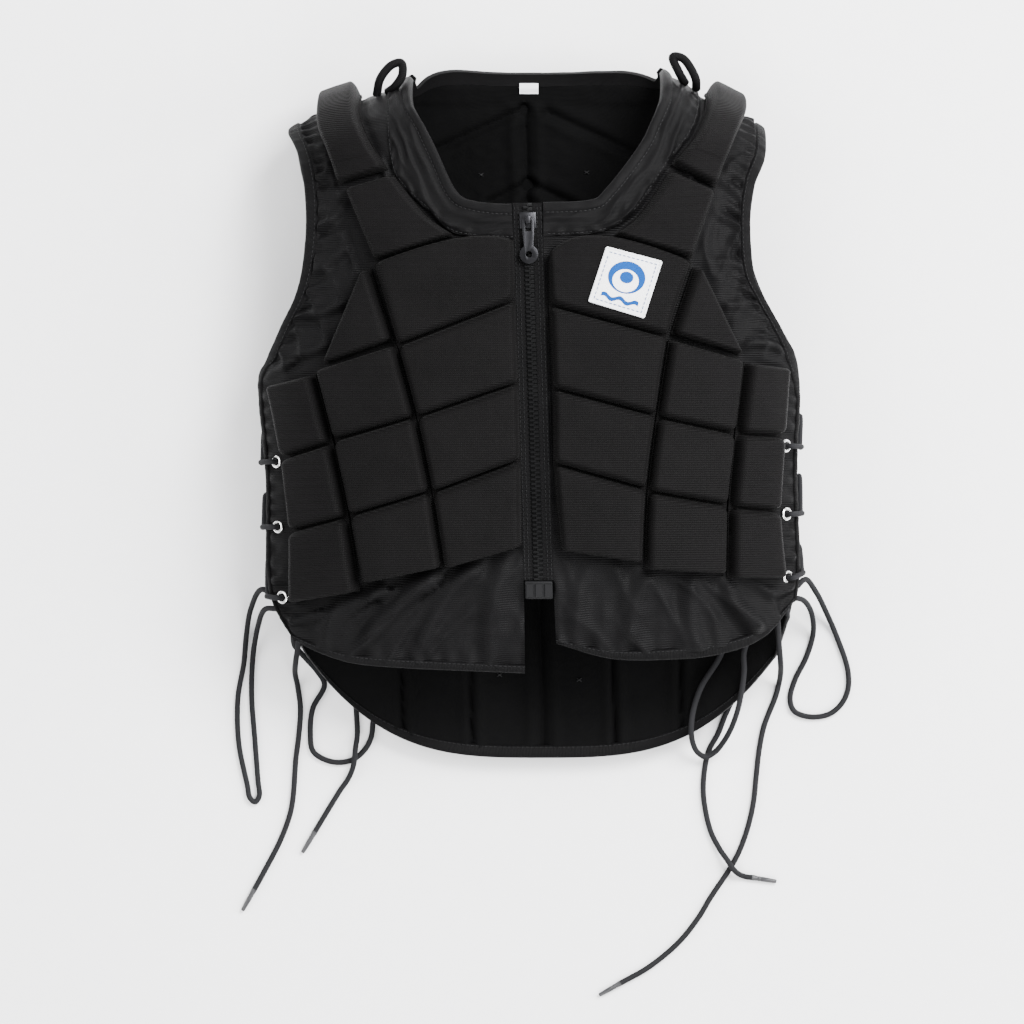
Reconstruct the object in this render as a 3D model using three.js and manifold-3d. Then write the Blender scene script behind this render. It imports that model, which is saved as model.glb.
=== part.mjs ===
// A lace-sided, zip-front padded riding vest, lying on its back as it is laid out on a floor.
// Millimetres. +X is the wearer's left, +Y runs from the hem to the neck, +Z is up out of the chest.
import * as THREE from "three";
import { mergeVertices } from "three/addons/utils/BufferGeometryUtils.js";
import Module from "manifold-3d";

const wasm = await Module();
wasm.setup();

// Driving dimensions of the body
const BODY_LENGTH = 556;
const HALF_WIDTH = 219;
const FRONT_PEAK = 134;
const FRONT_EDGE_DATUM = 40;
const FRONT_ROUNDNESS = 2.6;
const FRONT_REACH = 1.014;
const BACK_FLAT_HALF = 110;
const BACK_SIDE_RISE = 26;
const SHOULDER_HEIGHT = 42;
const FRONT_CURL = 50;
const FRONT_CURL_LENGTH = 100;
const BACK_CURL = 50;
const BACK_CURL_LENGTH = 64;
const SHOULDER_SEAM_PAST = 11;
const NECK_EDGE_PAST = 28;

// Cloth, padding and trim
const CLOTH = 3;
const PAD_HEIGHT = 15;
const PAD_GAP = 0.9;
const WEB = 2;
const PAD_BEVEL = 5;
const CLEARANCE = 0.4;
const BINDING_WIDTH = 10;
const PIPING_WIDTH = 3;
const BINDING_PROUD = 1.5;
const NECK_BAND_PROUD = 2.5;
const NECK_EDGE_WIDTH = 11;
const FOLD_HEIGHT = 4;

// Zip, labels, eyelets and cords
const ZIP_TAPE_HALF = 12;
const ZIP_CHAIN_HALF = 4;
const ZIP_CHAIN_PROUD = 1.2;
const TAPE_THICKNESS = 1.5;
const SLIDER_LENGTH = 13;
const SLIDER_HALF = 6.5;
const SLIDER_PLATE = 1.8;
const PULL_LENGTH = 36;
const PULL_THICKNESS = 2.2;
const PULL_RING_RADIUS = 7.5;
const PULL_HOLE_RADIUS = 2.6;
const PULL_NECK_HALF = 4.6;
const PULL_SLOT_HALF = 2.4;
const PULL_SLOT_LENGTH = 8;
const PULL_WALL = 2.2;
const PULL_REST_TILT = 3.2;
const PIVOT_BAR = 2;
const PIVOT_ROOM = 0.3;
const CROWN_HALF = 1.8;
const CROWN_WALL = 1.2;
const BOX_HALF = 11;
const BOX_LENGTH = 14;
const BOX_THICKNESS = 6;
const PATCH_THICKNESS = 1;
const TAG_WIDTH = 15;
const TAG_THICKNESS = 0.8;
const EYELET_RADIUS = 5.5;
const EYELET_BORE = 3.1;
const EYELET_BARREL = 3.7;
const EYELET_FLANGE = 0.9;
const EYELET_SIDES = 8;
const EYELET_INSET = 9.5;
const CORD_DIAMETER = 4.5;
const CORD_SIDES = 6;
const CORD_STEP = 3;
const LACE_SIDES = 6;
const LACE_STEP = 2.2;
const LACE_ROUND = 5.8;
const AGLET_LENGTH = 18;
const AGLET_DIAMETER = 4;
const AGLET_TAPER = 0.5;
const KNOT_RADIUS = 7.5;
const LACE_STAND = 6;
const LOOP_DIAMETER = 5;
const LOOP_SIDES = 6;
const LOOP_STEP = 2;
const LOOP_SEAT = 1.2;

// Heights of the chest's crown along the vest: place up the length, height as a share of the peak
const CROWN = [
  { up: 0.1, height: 0.72 },
  { up: 0.25, height: 0.88 },
  { up: 0.4, height: 0.97 },
  { up: 0.58, height: 1 },
  { up: 0.75, height: 0.97 },
  { up: 0.95, height: 0.86 },
];
// The line where the cloth turns over the shoulders and behind the neck
const FOLD_LINE = [
  { out: -0.901, up: 0.892 },
  { out: -0.774, up: 0.929 },
  { out: -0.628, up: 0.954 },
  { out: -0.482, up: 0.974 },
  { out: -0.38, up: 1.008 },
  { out: -0.25, up: 1.021 },
  { out: 0, up: 1.022 },
  { out: 0.25, up: 1.021 },
  { out: 0.42, up: 1.01 },
  { out: 0.54, up: 0.977 },
  { out: 0.759, up: 0.928 },
  { out: 0.905, up: 0.881 },
];
// How far the cloth goes over the fold before the back panel starts, as a share of the neck edge's place
const BACK_START = [
  { out: -0.52, share: 0 },
  { out: -0.4, share: 1 },
  { out: 0.42, share: 1 },
  { out: 0.55, share: 0 },
];
// The zip's centre line
const ZIP_LINE = [
  { out: 0.0255, up: 0.236 },
  { out: -0.016, up: 0.784 },
];
const ZIP_BOTTOM = 0.236;
const ZIP_TOP = 0.802;
const SLIDER_TOP = 0.788;
const HEM_ROW = 0.18;
const HEM_GAP = 0.015;

// Rows of the front panels from hem to shoulder. A row with no nearX starts at the zip's tape.
const RIGHT_ROWS = [
  { nearX: -0.026, nearY: 0.128, farX: -0.872, farY: 0.177 },
  { nearY: 0.236, farX: -0.962, farY: 0.252 },
  { nearY: 0.42, farX: -0.971, farY: 0.406 },
  { nearY: 0.593, farX: -1, farY: 0.542 },
  { nearY: 0.679, farX: -0.971, farY: 0.578 },
  { nearY: 0.75, farX: -0.916, farY: 0.627 },
  { nearX: -0.277, nearY: 0.758, farX: -0.865, farY: 0.669 },
  { nearX: -0.369, nearY: 0.788, farX: -0.836, farY: 0.717 },
  { nearX: -0.471, nearY: 0.826, farX: -0.825, farY: 0.79 },
  { nearX: -0.511, nearY: 0.859, farX: -0.843, farY: 0.863 },
  { nearX: -0.526, nearY: 0.917, farX: -0.876, farY: 0.902 },
];
const LEFT_ROWS = [
  { nearX: 0.088, nearY: 0.171, farX: 0.967, farY: 0.236 },
  { nearY: 0.236, farX: 0.978, farY: 0.291 },
  { nearY: 0.42, farX: 0.967, farY: 0.42 },
  { nearY: 0.593, farX: 0.978, farY: 0.521 },
  { nearY: 0.679, farX: 0.967, farY: 0.578 },
  { nearY: 0.754, farX: 0.92, farY: 0.617 },
  { nearX: 0.248, nearY: 0.76, farX: 0.854, farY: 0.663 },
  { nearX: 0.369, nearY: 0.788, farX: 0.81, farY: 0.701 },
  { nearX: 0.493, nearY: 0.859, farX: 0.796, farY: 0.774 },
  { nearX: 0.569, nearY: 0.898, farX: 0.807, farY: 0.827 },
  { nearX: 0.606, nearY: 0.935, farX: 0.839, farY: 0.873 },
];
// How far the front hems sag below a straight line, along each hem from the zip
const RIGHT_HEM = [
  { along: 0, drop: 0 },
  { along: 0.17, drop: 0.006 },
  { along: 0.55, drop: 0.019 },
  { along: 0.75, drop: 0.022 },
  { along: 0.9, drop: 0.013 },
  { along: 1, drop: 0 },
];
const LEFT_HEM = [
  { along: 0, drop: 0 },
  { along: 0.22, drop: 0.036 },
  { along: 0.45, drop: 0.053 },
  { along: 0.68, drop: 0.06 },
  { along: 0.87, drop: 0.046 },
  { along: 1, drop: 0 },
];
// The neck band's free edge, one row for each panel row from the zip's top to the shoulder
const RIGHT_NECK = [
  { x: -0.088, y: 0.8 },
  { x: -0.201, y: 0.804 },
  { x: -0.274, y: 0.819 },
  { x: -0.35, y: 0.881 },
  { x: -0.416, y: 0.929 },
  { x: -0.442, y: 0.955 },
];
const LEFT_NECK = [
  { x: 0.051, y: 0.803 },
  { x: 0.204, y: 0.806 },
  { x: 0.266, y: 0.822 },
  { x: 0.398, y: 0.891 },
  { x: 0.456, y: 0.94 },
  { x: 0.474, y: 0.968 },
];
// The back panel's rows: height up the vest, its edges, and how far the row sags at mid width
const BACK_ROWS = [
  { up: 0.154, right: -0.83, left: 0.9, sag: 0.15 },
  { up: 0.23, right: -0.93, left: 0.955, sag: 0.07 },
  { up: 0.32, right: -0.955, left: 0.965, sag: 0 },
  { up: 0.45, right: -0.965, left: 0.965, sag: 0 },
  { up: 0.56, right: -0.965, left: 0.965, sag: 0 },
  { up: 0.63, right: -0.9, left: 0.9, sag: 0 },
  { up: 0.71, right: -0.835, left: 0.815, sag: 0 },
  { up: 0.79, right: -0.82, left: 0.795, sag: 0 },
  { up: 0.855, right: -0.85, left: 0.83, sag: 0 },
];
const BACK_HEM_POWER = 3.2;
// Lines down the back panel, as shares of the half width where they meet the neck and shoulders
const BACK_LINES = [-0.7, -0.52, -0.46, -0.4, -0.2, 0, 0.2, 0.42, 0.485, 0.55, 0.7];
// Lines down a front panel, closer together where the side turns down
const FRONT_LINES = [0, 0.22, 0.43, 0.62, 0.79, 0.91, 1];
// Rows of points between the hem and the first row of a front, and between the back's last row and the shoulder
const HEM_STATIONS = [0.4, 0.62, 0.84];
const BEHIND_STATIONS = [0.3, 0.55, 0.8];
// Rows of points of the hem between the binding and the first row, on the back and along the edges
const HEM_MIDDLE = 0.6;

// Pads: each line runs from the near (zip) end to the far (side) end; a line with seam 0 is inside a pad
const RIGHT_PADS = {
  pad_column_1: [
    { nearX: -0.066, nearY: 0.748, midX: -0.27, midY: 0.751, farX: -0.573, farY: 0.714, seam: 1 },
    { nearX: -0.058, nearY: 0.662, farX: -0.485, farY: 0.597, seam: 1 },
    { nearX: -0.047, nearY: 0.545, farX: -0.416, farY: 0.495, seam: 1 },
    { nearX: -0.04, nearY: 0.435, farX: -0.361, farY: 0.388, seam: 1 },
    { nearX: -0.036, nearY: 0.312, farX: -0.318, farY: 0.279, seam: 1 },
  ],
  pad_column_2: [
    { nearX: -0.49, nearY: 0.599, farX: -0.774, farY: 0.563, seam: 1 },
    { nearX: -0.421, nearY: 0.496, farX: -0.712, farY: 0.462, seam: 1 },
    { nearX: -0.366, nearY: 0.39, farX: -0.657, farY: 0.355, seam: 1 },
    { nearX: -0.323, nearY: 0.282, farX: -0.613, farY: 0.258, seam: 1 },
  ],
  pad_column_3: [
    { nearX: -0.782, nearY: 0.557, farX: -0.94, farY: 0.541, seam: 1 },
    { nearX: -0.718, nearY: 0.459, farX: -0.894, farY: 0.436, seam: 1 },
    { nearX: -0.664, nearY: 0.354, farX: -0.869, farY: 0.332, seam: 1 },
    { nearX: -0.625, nearY: 0.247, farX: -0.872, farY: 0.229, seam: 1 },
  ],
  armpit_pad: [
    { nearX: -0.585, nearY: 0.708, farX: -0.615, farY: 0.705, seam: 1 },
    { nearX: -0.5, nearY: 0.606, farX: -0.75, farY: 0.571, seam: 1 },
  ],
  chest_pad: [
    { nearX: -0.5, nearY: 0.842, farX: -0.675, farY: 0.822, seam: 1 },
    { nearX: -0.385, nearY: 0.785, farX: -0.62, farY: 0.768, seam: 0 },
    { nearX: -0.282, nearY: 0.755, farX: -0.569, farY: 0.719, seam: 1 },
  ],
  shoulder_pad: [
    { nearX: -0.522, nearY: 0.85, farX: -0.701, farY: 0.829, seam: 1 },
    { nearX: -0.58, nearY: 0.886, farX: -0.737, farY: 0.873, seam: 0 },
    { nearX: -0.62, nearY: 0.924, farX: -0.77, farY: 0.905, seam: 0 },
  ],
};
const LEFT_PADS = {
  pad_column_1: [
    { nearX: 0.062, nearY: 0.728, midX: 0.241, midY: 0.755, farX: 0.577, farY: 0.717, seam: 1 },
    { nearX: 0.062, nearY: 0.655, farX: 0.489, farY: 0.61, seam: 1 },
    { nearX: 0.073, nearY: 0.537, farX: 0.445, farY: 0.498, seam: 1 },
    { nearX: 0.077, nearY: 0.43, farX: 0.412, farY: 0.393, seam: 1 },
    { nearX: 0.102, nearY: 0.306, farX: 0.401, farY: 0.288, seam: 1 },
  ],
  pad_column_2: [
    { nearX: 0.494, nearY: 0.607, farX: 0.757, farY: 0.577, seam: 1 },
    { nearX: 0.45, nearY: 0.496, farX: 0.728, farY: 0.472, seam: 1 },
    { nearX: 0.418, nearY: 0.39, farX: 0.703, farY: 0.37, seam: 1 },
    { nearX: 0.407, nearY: 0.279, farX: 0.7, farY: 0.272, seam: 1 },
  ],
  pad_column_3: [
    { nearX: 0.764, nearY: 0.574, farX: 0.915, farY: 0.567, seam: 1 },
    { nearX: 0.734, nearY: 0.472, farX: 0.9, farY: 0.468, seam: 1 },
    { nearX: 0.71, nearY: 0.368, farX: 0.887, farY: 0.361, seam: 1 },
    { nearX: 0.707, nearY: 0.266, farX: 0.907, farY: 0.265, seam: 1 },
  ],
  armpit_pad: [
    { nearX: 0.582, nearY: 0.71, farX: 0.61, farY: 0.708, seam: 1 },
    { nearX: 0.502, nearY: 0.615, farX: 0.757, farY: 0.584, seam: 1 },
  ],
  chest_pad: [
    { nearX: 0.497, nearY: 0.848, farX: 0.661, farY: 0.818, seam: 1 },
    { nearX: 0.388, nearY: 0.785, farX: 0.617, farY: 0.768, seam: 0 },
    { nearX: 0.3, nearY: 0.756, farX: 0.577, farY: 0.722, seam: 1 },
  ],
  shoulder_pad: [
    { nearX: 0.505, nearY: 0.857, farX: 0.664, farY: 0.824, seam: 1 },
    { nearX: 0.59, nearY: 0.898, farX: 0.719, farY: 0.881, seam: 0 },
    { nearX: 0.628, nearY: 0.938, farX: 0.763, farY: 0.918, seam: 1 },
  ],
};
const SHOULDER_PAD_PAST = 0.7;
// The back's pads: seams across the centre pair, and down the side columns
const BACK_CENTRE_SEAMS = [
  { up: 0.145, fall: 0 },
  { up: 0.34, fall: 0.015 },
  { up: 0.52, fall: 0.03 },
  { up: 0.68, fall: 0.045 },
  { up: 0.834, fall: 0.05 },
  { up: 0.93, fall: 0.05 },
];
const BACK_SIDE_SEAMS = [
  { up: 0.215, outer: 0.8 },
  { up: 0.36, outer: 0.86 },
  { up: 0.52, outer: 0.86 },
  { up: 0.66, outer: 0.72 },
  { up: 0.82, outer: 0.7 },
];
const BACK_CENTRE_HALF = 0.245;
// A side pad's width as a share of the half width, and where its lines inside the bevels run
const SIDE_PAD_SHARE = 0.55;
const SIDE_PAD_STATIONS = [0.4, 0.56, 0.74];

// Folds of the loose cloth: ends on the front, and height as a share of the fold height
const RIGHT_FOLDS = [
  { fromX: -0.38, fromY: 0.255, toX: -0.6, toY: 0.17, height: 1, half: 0.035 },
  { fromX: -0.25, fromY: 0.275, toX: -0.42, toY: 0.165, height: 0.8, half: 0.03 },
  { fromX: -0.7, fromY: 0.205, toX: -0.82, toY: 0.19, height: 0.7, half: 0.025 },
];
const LEFT_FOLDS = [
  { fromX: 0.72, fromY: 0.225, toX: 0.8, toY: 0.19, height: 1, half: 0.03 },
  { fromX: 0.42, fromY: 0.27, toX: 0.36, toY: 0.18, height: 0.7, half: 0.035 },
  { fromX: 0.6, fromY: 0.255, toX: 0.57, toY: 0.17, height: 0.8, half: 0.03 },
];
const PATCH_CORNERS = [
  { x: 0.266, y: 0.735 },
  { x: 0.456, y: 0.715 },
  { x: 0.394, y: 0.637 },
  { x: 0.204, y: 0.66 },
];
const TAG_PLACE = { x: -0.011, low: 0.966, high: 0.982 };
// Eyelets of the side lacing, front and back
const RIGHT_EYELETS = [
  { frontRow: 2.17, backRow: 3.2 },
  { frontRow: 1.58, backRow: 2.5 },
  { frontRow: 0.88, backRow: 1.7 },
];
const LEFT_EYELETS = [
  { frontRow: 2.3, backRow: 3.4 },
  { frontRow: 1.54, backRow: 2.7 },
  { frontRow: 0.78, backRow: 1.9 },
];

// Length of the vest at a share up from the hem, from its own middle
const up = (share) => (share - 0.5) * BODY_LENGTH;
const out = (share) => share * HALF_WIDTH;

// Smooth value of a table's column at a place, by cubic pieces through its rows
function smooth(table, key, value, at) {
  const last = table.length - 1;
  if (at <= table[0][key]) return table[0][value];
  if (at >= table[last][key]) return table[last][value];
  const i = table.findIndex((row, k) => k < last && at <= table[k + 1][key]);
  const slope = (k) => {
    const a = table[Math.max(0, k - 1)];
    const b = table[Math.min(last, k + 1)];
    return (b[value] - a[value]) / (b[key] - a[key]);
  };
  const span = table[i + 1][key] - table[i][key];
  const t = (at - table[i][key]) / span;
  const start = table[i][value];
  const end = table[i + 1][value];
  return (
    start * (1 + 2 * t) * (1 - t) ** 2 +
    slope(i) * span * t * (1 - t) ** 2 +
    end * t * t * (3 - 2 * t) +
    slope(i + 1) * span * t * t * (t - 1)
  );
}

const foldY = (x) => up(smooth(FOLD_LINE, "out", "up", x / HALF_WIDTH));
const foldS = (x) => foldY(x) - FRONT_CURL + FRONT_CURL_LENGTH;

function frontHeight(x, y) {
  const crown = FRONT_PEAK * smooth(CROWN, "up", "height", y / BODY_LENGTH + 0.5);
  const t = Math.min(1, Math.abs(x) / out(FRONT_REACH));
  return FRONT_EDGE_DATUM + (crown - FRONT_EDGE_DATUM) * Math.sqrt(1 - t ** FRONT_ROUNDNESS);
}

const BACK_DATUM = PAD_GAP + PAD_HEIGHT;
function backHeight(x) {
  const t = Math.max(0, Math.abs(x) - BACK_FLAT_HALF) / (HALF_WIDTH - BACK_FLAT_HALF);
  return BACK_DATUM + BACK_SIDE_RISE * t * t;
}

// The outer face of the cloth. s is measured along the cloth: up the front, over the fold, down the back.
function cloth(x, s) {
  const top = foldY(x);
  const start = top - FRONT_CURL;
  if (s <= start) return new THREE.Vector3(x, s, frontHeight(x, s));
  const turned = ((s - start) / FRONT_CURL_LENGTH) * (Math.PI / 2);
  if (turned <= Math.PI / 2) {
    const rise = frontHeight(x, start) - SHOULDER_HEIGHT;
    return new THREE.Vector3(
      x,
      start + FRONT_CURL * Math.sin(turned),
      SHOULDER_HEIGHT + rise * Math.cos(turned),
    );
  }
  const past = s - start - FRONT_CURL_LENGTH;
  const low = backHeight(x);
  if (past >= BACK_CURL_LENGTH)
    return new THREE.Vector3(x, top - BACK_CURL - (past - BACK_CURL_LENGTH), low);
  const angle = (past / BACK_CURL_LENGTH) * (Math.PI / 2);
  return new THREE.Vector3(
    x,
    top - BACK_CURL * (1 - Math.cos(angle)),
    low + (SHOULDER_HEIGHT - low) * (1 - Math.sin(angle)),
  );
}

function outward(x, s) {
  const step = 1;
  const alongX = cloth(x + step, s).sub(cloth(x - step, s));
  const alongS = cloth(x, s + step).sub(cloth(x, s - step));
  return alongX.cross(alongS).normalize();
}

const lifted = (at, offset) =>
  cloth(at.x, at.s).addScaledVector(outward(at.x, at.s), offset);

// A place on the front seen from above, as a place along the cloth
function onFront(xShare, yShare) {
  const x = out(xShare);
  const y = up(yShare);
  const start = foldY(x) - FRONT_CURL;
  if (y <= start) return { x, s: y };
  const turned = Math.asin(Math.min(1, (y - start) / FRONT_CURL));
  return { x, s: start + (FRONT_CURL_LENGTH * turned) / (Math.PI / 2) };
}

// The same on the back
function onBack(x, y) {
  const below = foldY(x) - y;
  const turned = Math.acos(Math.max(0, Math.min(1, 1 - below / BACK_CURL)));
  const past =
    below >= BACK_CURL
      ? BACK_CURL_LENGTH + below - BACK_CURL
      : (BACK_CURL_LENGTH * turned) / (Math.PI / 2);
  return { x, s: foldS(x) + past };
}

const overFold = (x, past) => ({ x, s: foldS(x) + past });
const backStart = (x) =>
  SHOULDER_SEAM_PAST +
  (NECK_EDGE_PAST + NECK_EDGE_WIDTH - SHOULDER_SEAM_PAST) *
    smooth(BACK_START, "out", "share", x / HALF_WIDTH);

const mix = (a, b, t) => ({ x: a.x + (b.x - a.x) * t, s: a.s + (b.s - a.s) * t });

// A closed geometry from points and faces, turned to face outwards
function closed(points, faces) {
  let volume = 0;
  for (const [a, b, c] of faces)
    volume += points[a].dot(new THREE.Vector3().crossVectors(points[b], points[c]));
  const geometry = new THREE.BufferGeometry();
  geometry.setAttribute(
    "position",
    new THREE.Float32BufferAttribute(points.flatMap((p) => [p.x, p.y, p.z]), 3),
  );
  geometry.setIndex(faces.flatMap(([a, b, c]) => (volume < 0 ? [a, c, b] : [a, b, c])));
  geometry.computeVertexNormals();
  return geometry;
}

// A sheet of cloth or padding over a grid: place gives a spot on the cloth, low and high its two faces
function sheet(across, down, place, low, high) {
  const points = [];
  for (const level of [low, high])
    for (const v of down)
      for (const u of across) points.push(lifted(place(u, v), level(u, v)));
  const wide = across.length;
  const tall = down.length;
  const id = (layer, i, j) => (layer * tall + j) * wide + i;
  const faces = [];
  const quad = (a, b, c, d) => faces.push([a, b, c], [a, c, d]);
  for (let j = 0; j < tall - 1; j++)
    for (let i = 0; i < wide - 1; i++) {
      quad(id(0, i, j), id(0, i, j + 1), id(0, i + 1, j + 1), id(0, i + 1, j));
      quad(id(1, i, j), id(1, i + 1, j), id(1, i + 1, j + 1), id(1, i, j + 1));
    }
  for (let i = 0; i < wide - 1; i++) {
    quad(id(0, i, 0), id(0, i + 1, 0), id(1, i + 1, 0), id(1, i, 0));
    quad(id(0, i + 1, tall - 1), id(0, i, tall - 1), id(1, i, tall - 1), id(1, i + 1, tall - 1));
  }
  for (let j = 0; j < tall - 1; j++) {
    quad(id(0, 0, j + 1), id(0, 0, j), id(1, 0, j), id(1, 0, j + 1));
    quad(id(0, wide - 1, j), id(0, wide - 1, j + 1), id(1, wide - 1, j + 1), id(1, wide - 1, j));
  }
  return closed(points, faces);
}

const level = (value) => () => value;
const range = (from, to, steps) =>
  Array.from({ length: steps + 1 }, (_, i) => from + ((to - from) * i) / steps);

// Panels
function zipX(y) {
  const [a, b] = ZIP_LINE;
  return out(a.out + ((b.out - a.out) * (y / BODY_LENGTH + 0.5 - a.up)) / (b.up - a.up));
}

// The front panel's rows as places on the cloth, with two more over the shoulder
function frontRows(table, side) {
  const rows = table.map((row) => {
    const near =
      row.nearX === undefined
        ? { x: zipX(up(row.nearY)) + side * ZIP_TAPE_HALF, s: up(row.nearY) }
        : onFront(row.nearX, row.nearY);
    return { near, far: onFront(row.farX, row.farY) };
  });
  const last = table[table.length - 1];
  for (const past of [0, SHOULDER_SEAM_PAST])
    rows.push({
      near: overFold(out(last.nearX), past),
      far: overFold(out(last.farX), past),
    });
  return rows;
}

// A spot on a front panel: u from the zip or neck to the side, v counts rows up from the hem
function frontSpot(rows, hem, u, v) {
  const i = Math.min(rows.length - 2, Math.floor(v));
  const near = mix(rows[i].near, rows[i + 1].near, v - i);
  const far = mix(rows[i].far, rows[i + 1].far, v - i);
  const spot = mix(near, far, u);
  spot.s -= BODY_LENGTH * smooth(hem, "along", "drop", u) * Math.max(0, 1 - v);
  return spot;
}

function rowLength(rows, v) {
  const i = Math.min(rows.length - 2, Math.floor(v));
  const near = mix(rows[i].near, rows[i + 1].near, v - i);
  const far = mix(rows[i].far, rows[i + 1].far, v - i);
  return Math.hypot(far.x - near.x, far.s - near.s);
}

// Height of the loose cloth's folds at a spot
function foldAt(folds, spot) {
  const ridge = ({ fromX, fromY, toX, toY, height, half }) => {
    const ax = out(fromX);
    const ay = up(fromY);
    const dx = out(toX) - ax;
    const dy = up(toY) - ay;
    const t = Math.min(1, Math.max(0, ((spot.x - ax) * dx + (spot.s - ay) * dy) / (dx * dx + dy * dy)));
    const away = Math.hypot(spot.x - ax - dx * t, spot.s - ay - dy * t) / out(half * 2);
    return height * Math.exp(-away * away);
  };
  return FOLD_HEIGHT * Math.max(...folds.map(ridge));
}

const SIDES = [
  { name: "right", side: -1, rows: frontRows(RIGHT_ROWS, -1), hem: RIGHT_HEM, neck: RIGHT_NECK,
    pads: RIGHT_PADS, folds: RIGHT_FOLDS, eyelets: RIGHT_EYELETS },
  { name: "left", side: 1, rows: frontRows(LEFT_ROWS, 1), hem: LEFT_HEM, neck: LEFT_NECK,
    pads: LEFT_PADS, folds: LEFT_FOLDS, eyelets: LEFT_EYELETS },
];
const NECK_ROW = 5;

// The armhole's binding is broad, the laced side's is a narrow piping
function bindingWidth(row, armholeRow) {
  const t = Math.max(0, Math.min(1, row - (armholeRow - 1)));
  return PIPING_WIDTH + (BINDING_WIDTH - PIPING_WIDTH) * t;
}
// Stations along the front panels: half rows where the rows are tall and over the shoulder's curl
const FRONT_STATIONS = [...range(1, 5, 8), 6, 7, 8, ...range(9, RIGHT_ROWS.length + 1, 6)];
const FRONT_ARMHOLE_ROW = 4;
const BACK_ARMHOLE_ROW = 5;
const frontBinding = (v) => bindingWidth(v, FRONT_ARMHOLE_ROW);
const backBinding = (v) => bindingWidth(v, BACK_ARMHOLE_ROW);

function frontShell({ rows, hem, folds }) {
  const down = [HEM_ROW + HEM_GAP, ...HEM_STATIONS, ...FRONT_STATIONS];
  const place = (u, v) => {
    const edge = 1 - (frontBinding(v) + CLEARANCE) / rowLength(rows, v);
    return frontSpot(rows, hem, u * edge, v);
  };
  const fold = (u, v) => (v < 1 ? foldAt(folds, place(u, v)) : 0);
  return sheet(FRONT_LINES, down, place, (u, v) => fold(u, v) - CLOTH, fold);
}

function frontHemBinding({ rows, hem }) {
  const edge = 1 - (frontBinding(0) + CLEARANCE) / rowLength(rows, 0);
  const place = (u, v) => frontSpot(rows, hem, u * edge, v * HEM_ROW);
  return sheet(FRONT_LINES, [0, 1], place, level(-CLOTH - BINDING_PROUD), level(BINDING_PROUD));
}

// The back panel's rows run from the wearer's right to left, u from 0 to 1
const BACK_TOP = BACK_ROWS.length - 1;
function backSpot(u, v) {
  const i = Math.min(BACK_TOP - 1, Math.floor(v));
  const between = (key) =>
    BACK_ROWS[i][key] + (BACK_ROWS[i + 1][key] - BACK_ROWS[i][key]) * Math.min(1, v - i);
  const top = v > BACK_TOP;
  const ends = top
    ? SIDES.map((one) => one.rows[one.rows.length - 1].far.x)
    : [out(between("right")), out(between("left"))];
  const edge = BACK_ROWS[BACK_TOP];
  const x = top
    ? [edge.right, edge.left]
        .map((share, k) => out(share) + (ends[k] - out(share)) * (v - BACK_TOP))
        .reduce((a, b) => a + (b - a) * u)
    : ends[0] + (ends[1] - ends[0]) * u;
  const bulge = 1 - Math.abs(2 * u - 1) ** BACK_HEM_POWER;
  if (!top) return onBack(x, up(between("up") - between("sag") * bulge));
  const low = onBack(x, up(edge.up));
  return mix(low, overFold(x, backStart(x) + CLEARANCE * 2), v - BACK_TOP);
}
const backWidth = (v) => backSpot(1, v).x - backSpot(0, v).x;

function backShell() {
  const edge = (v) => (backBinding(v) + CLEARANCE) / backWidth(v);
  const place = (u, v) => backSpot(edge(v) + u * (1 - 2 * edge(v)), v);
  const top = BACK_TOP + 1;
  const [from, to] = [place(0, top).x, place(1, top).x];
  const across = [0, ...BACK_LINES.map((share) => (out(share) - from) / (to - from)), 1];
  const down = [
    HEM_ROW + HEM_GAP,
    HEM_MIDDLE,
    ...range(1, BACK_TOP, BACK_TOP - 1),
    ...BEHIND_STATIONS.map((v) => BACK_TOP + v),
    top,
  ];
  return sheet(across, down, place, level(-CLOTH), level(0));
}

function backHemBinding() {
  const edge = (backBinding(0) + CLEARANCE) / backWidth(0);
  const place = (u, v) => backSpot(edge + u * (1 - 2 * edge), v * HEM_ROW);
  return sheet(range(0, 1, 18), [0, 1], place, level(-CLOTH - BINDING_PROUD), level(BINDING_PROUD));
}

// One tape binds the side and armhole of the front, goes over the shoulder and down the back
function edgeBinding({ side, rows, hem }) {
  const front = [0, HEM_ROW, HEM_MIDDLE, ...FRONT_STATIONS];
  const behind = BEHIND_STATIONS.map((v) => BACK_TOP + v).reverse();
  const back = [...behind, ...range(BACK_TOP, 0, BACK_TOP)];
  const place = (u, j) => {
    if (j < front.length) {
      const v = front[j];
      return frontSpot(rows, hem, 1 - (u * frontBinding(v)) / rowLength(rows, v), v);
    }
    const v = back[j - front.length];
    const inset = (u * backBinding(v)) / backWidth(v);
    return backSpot(side < 0 ? inset : 1 - inset, v);
  };
  const down = range(0, front.length + back.length - 1, front.length + back.length - 1);
  return sheet([0, 1], down, place, level(-CLOTH - BINDING_PROUD), level(BINDING_PROUD));
}

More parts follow.
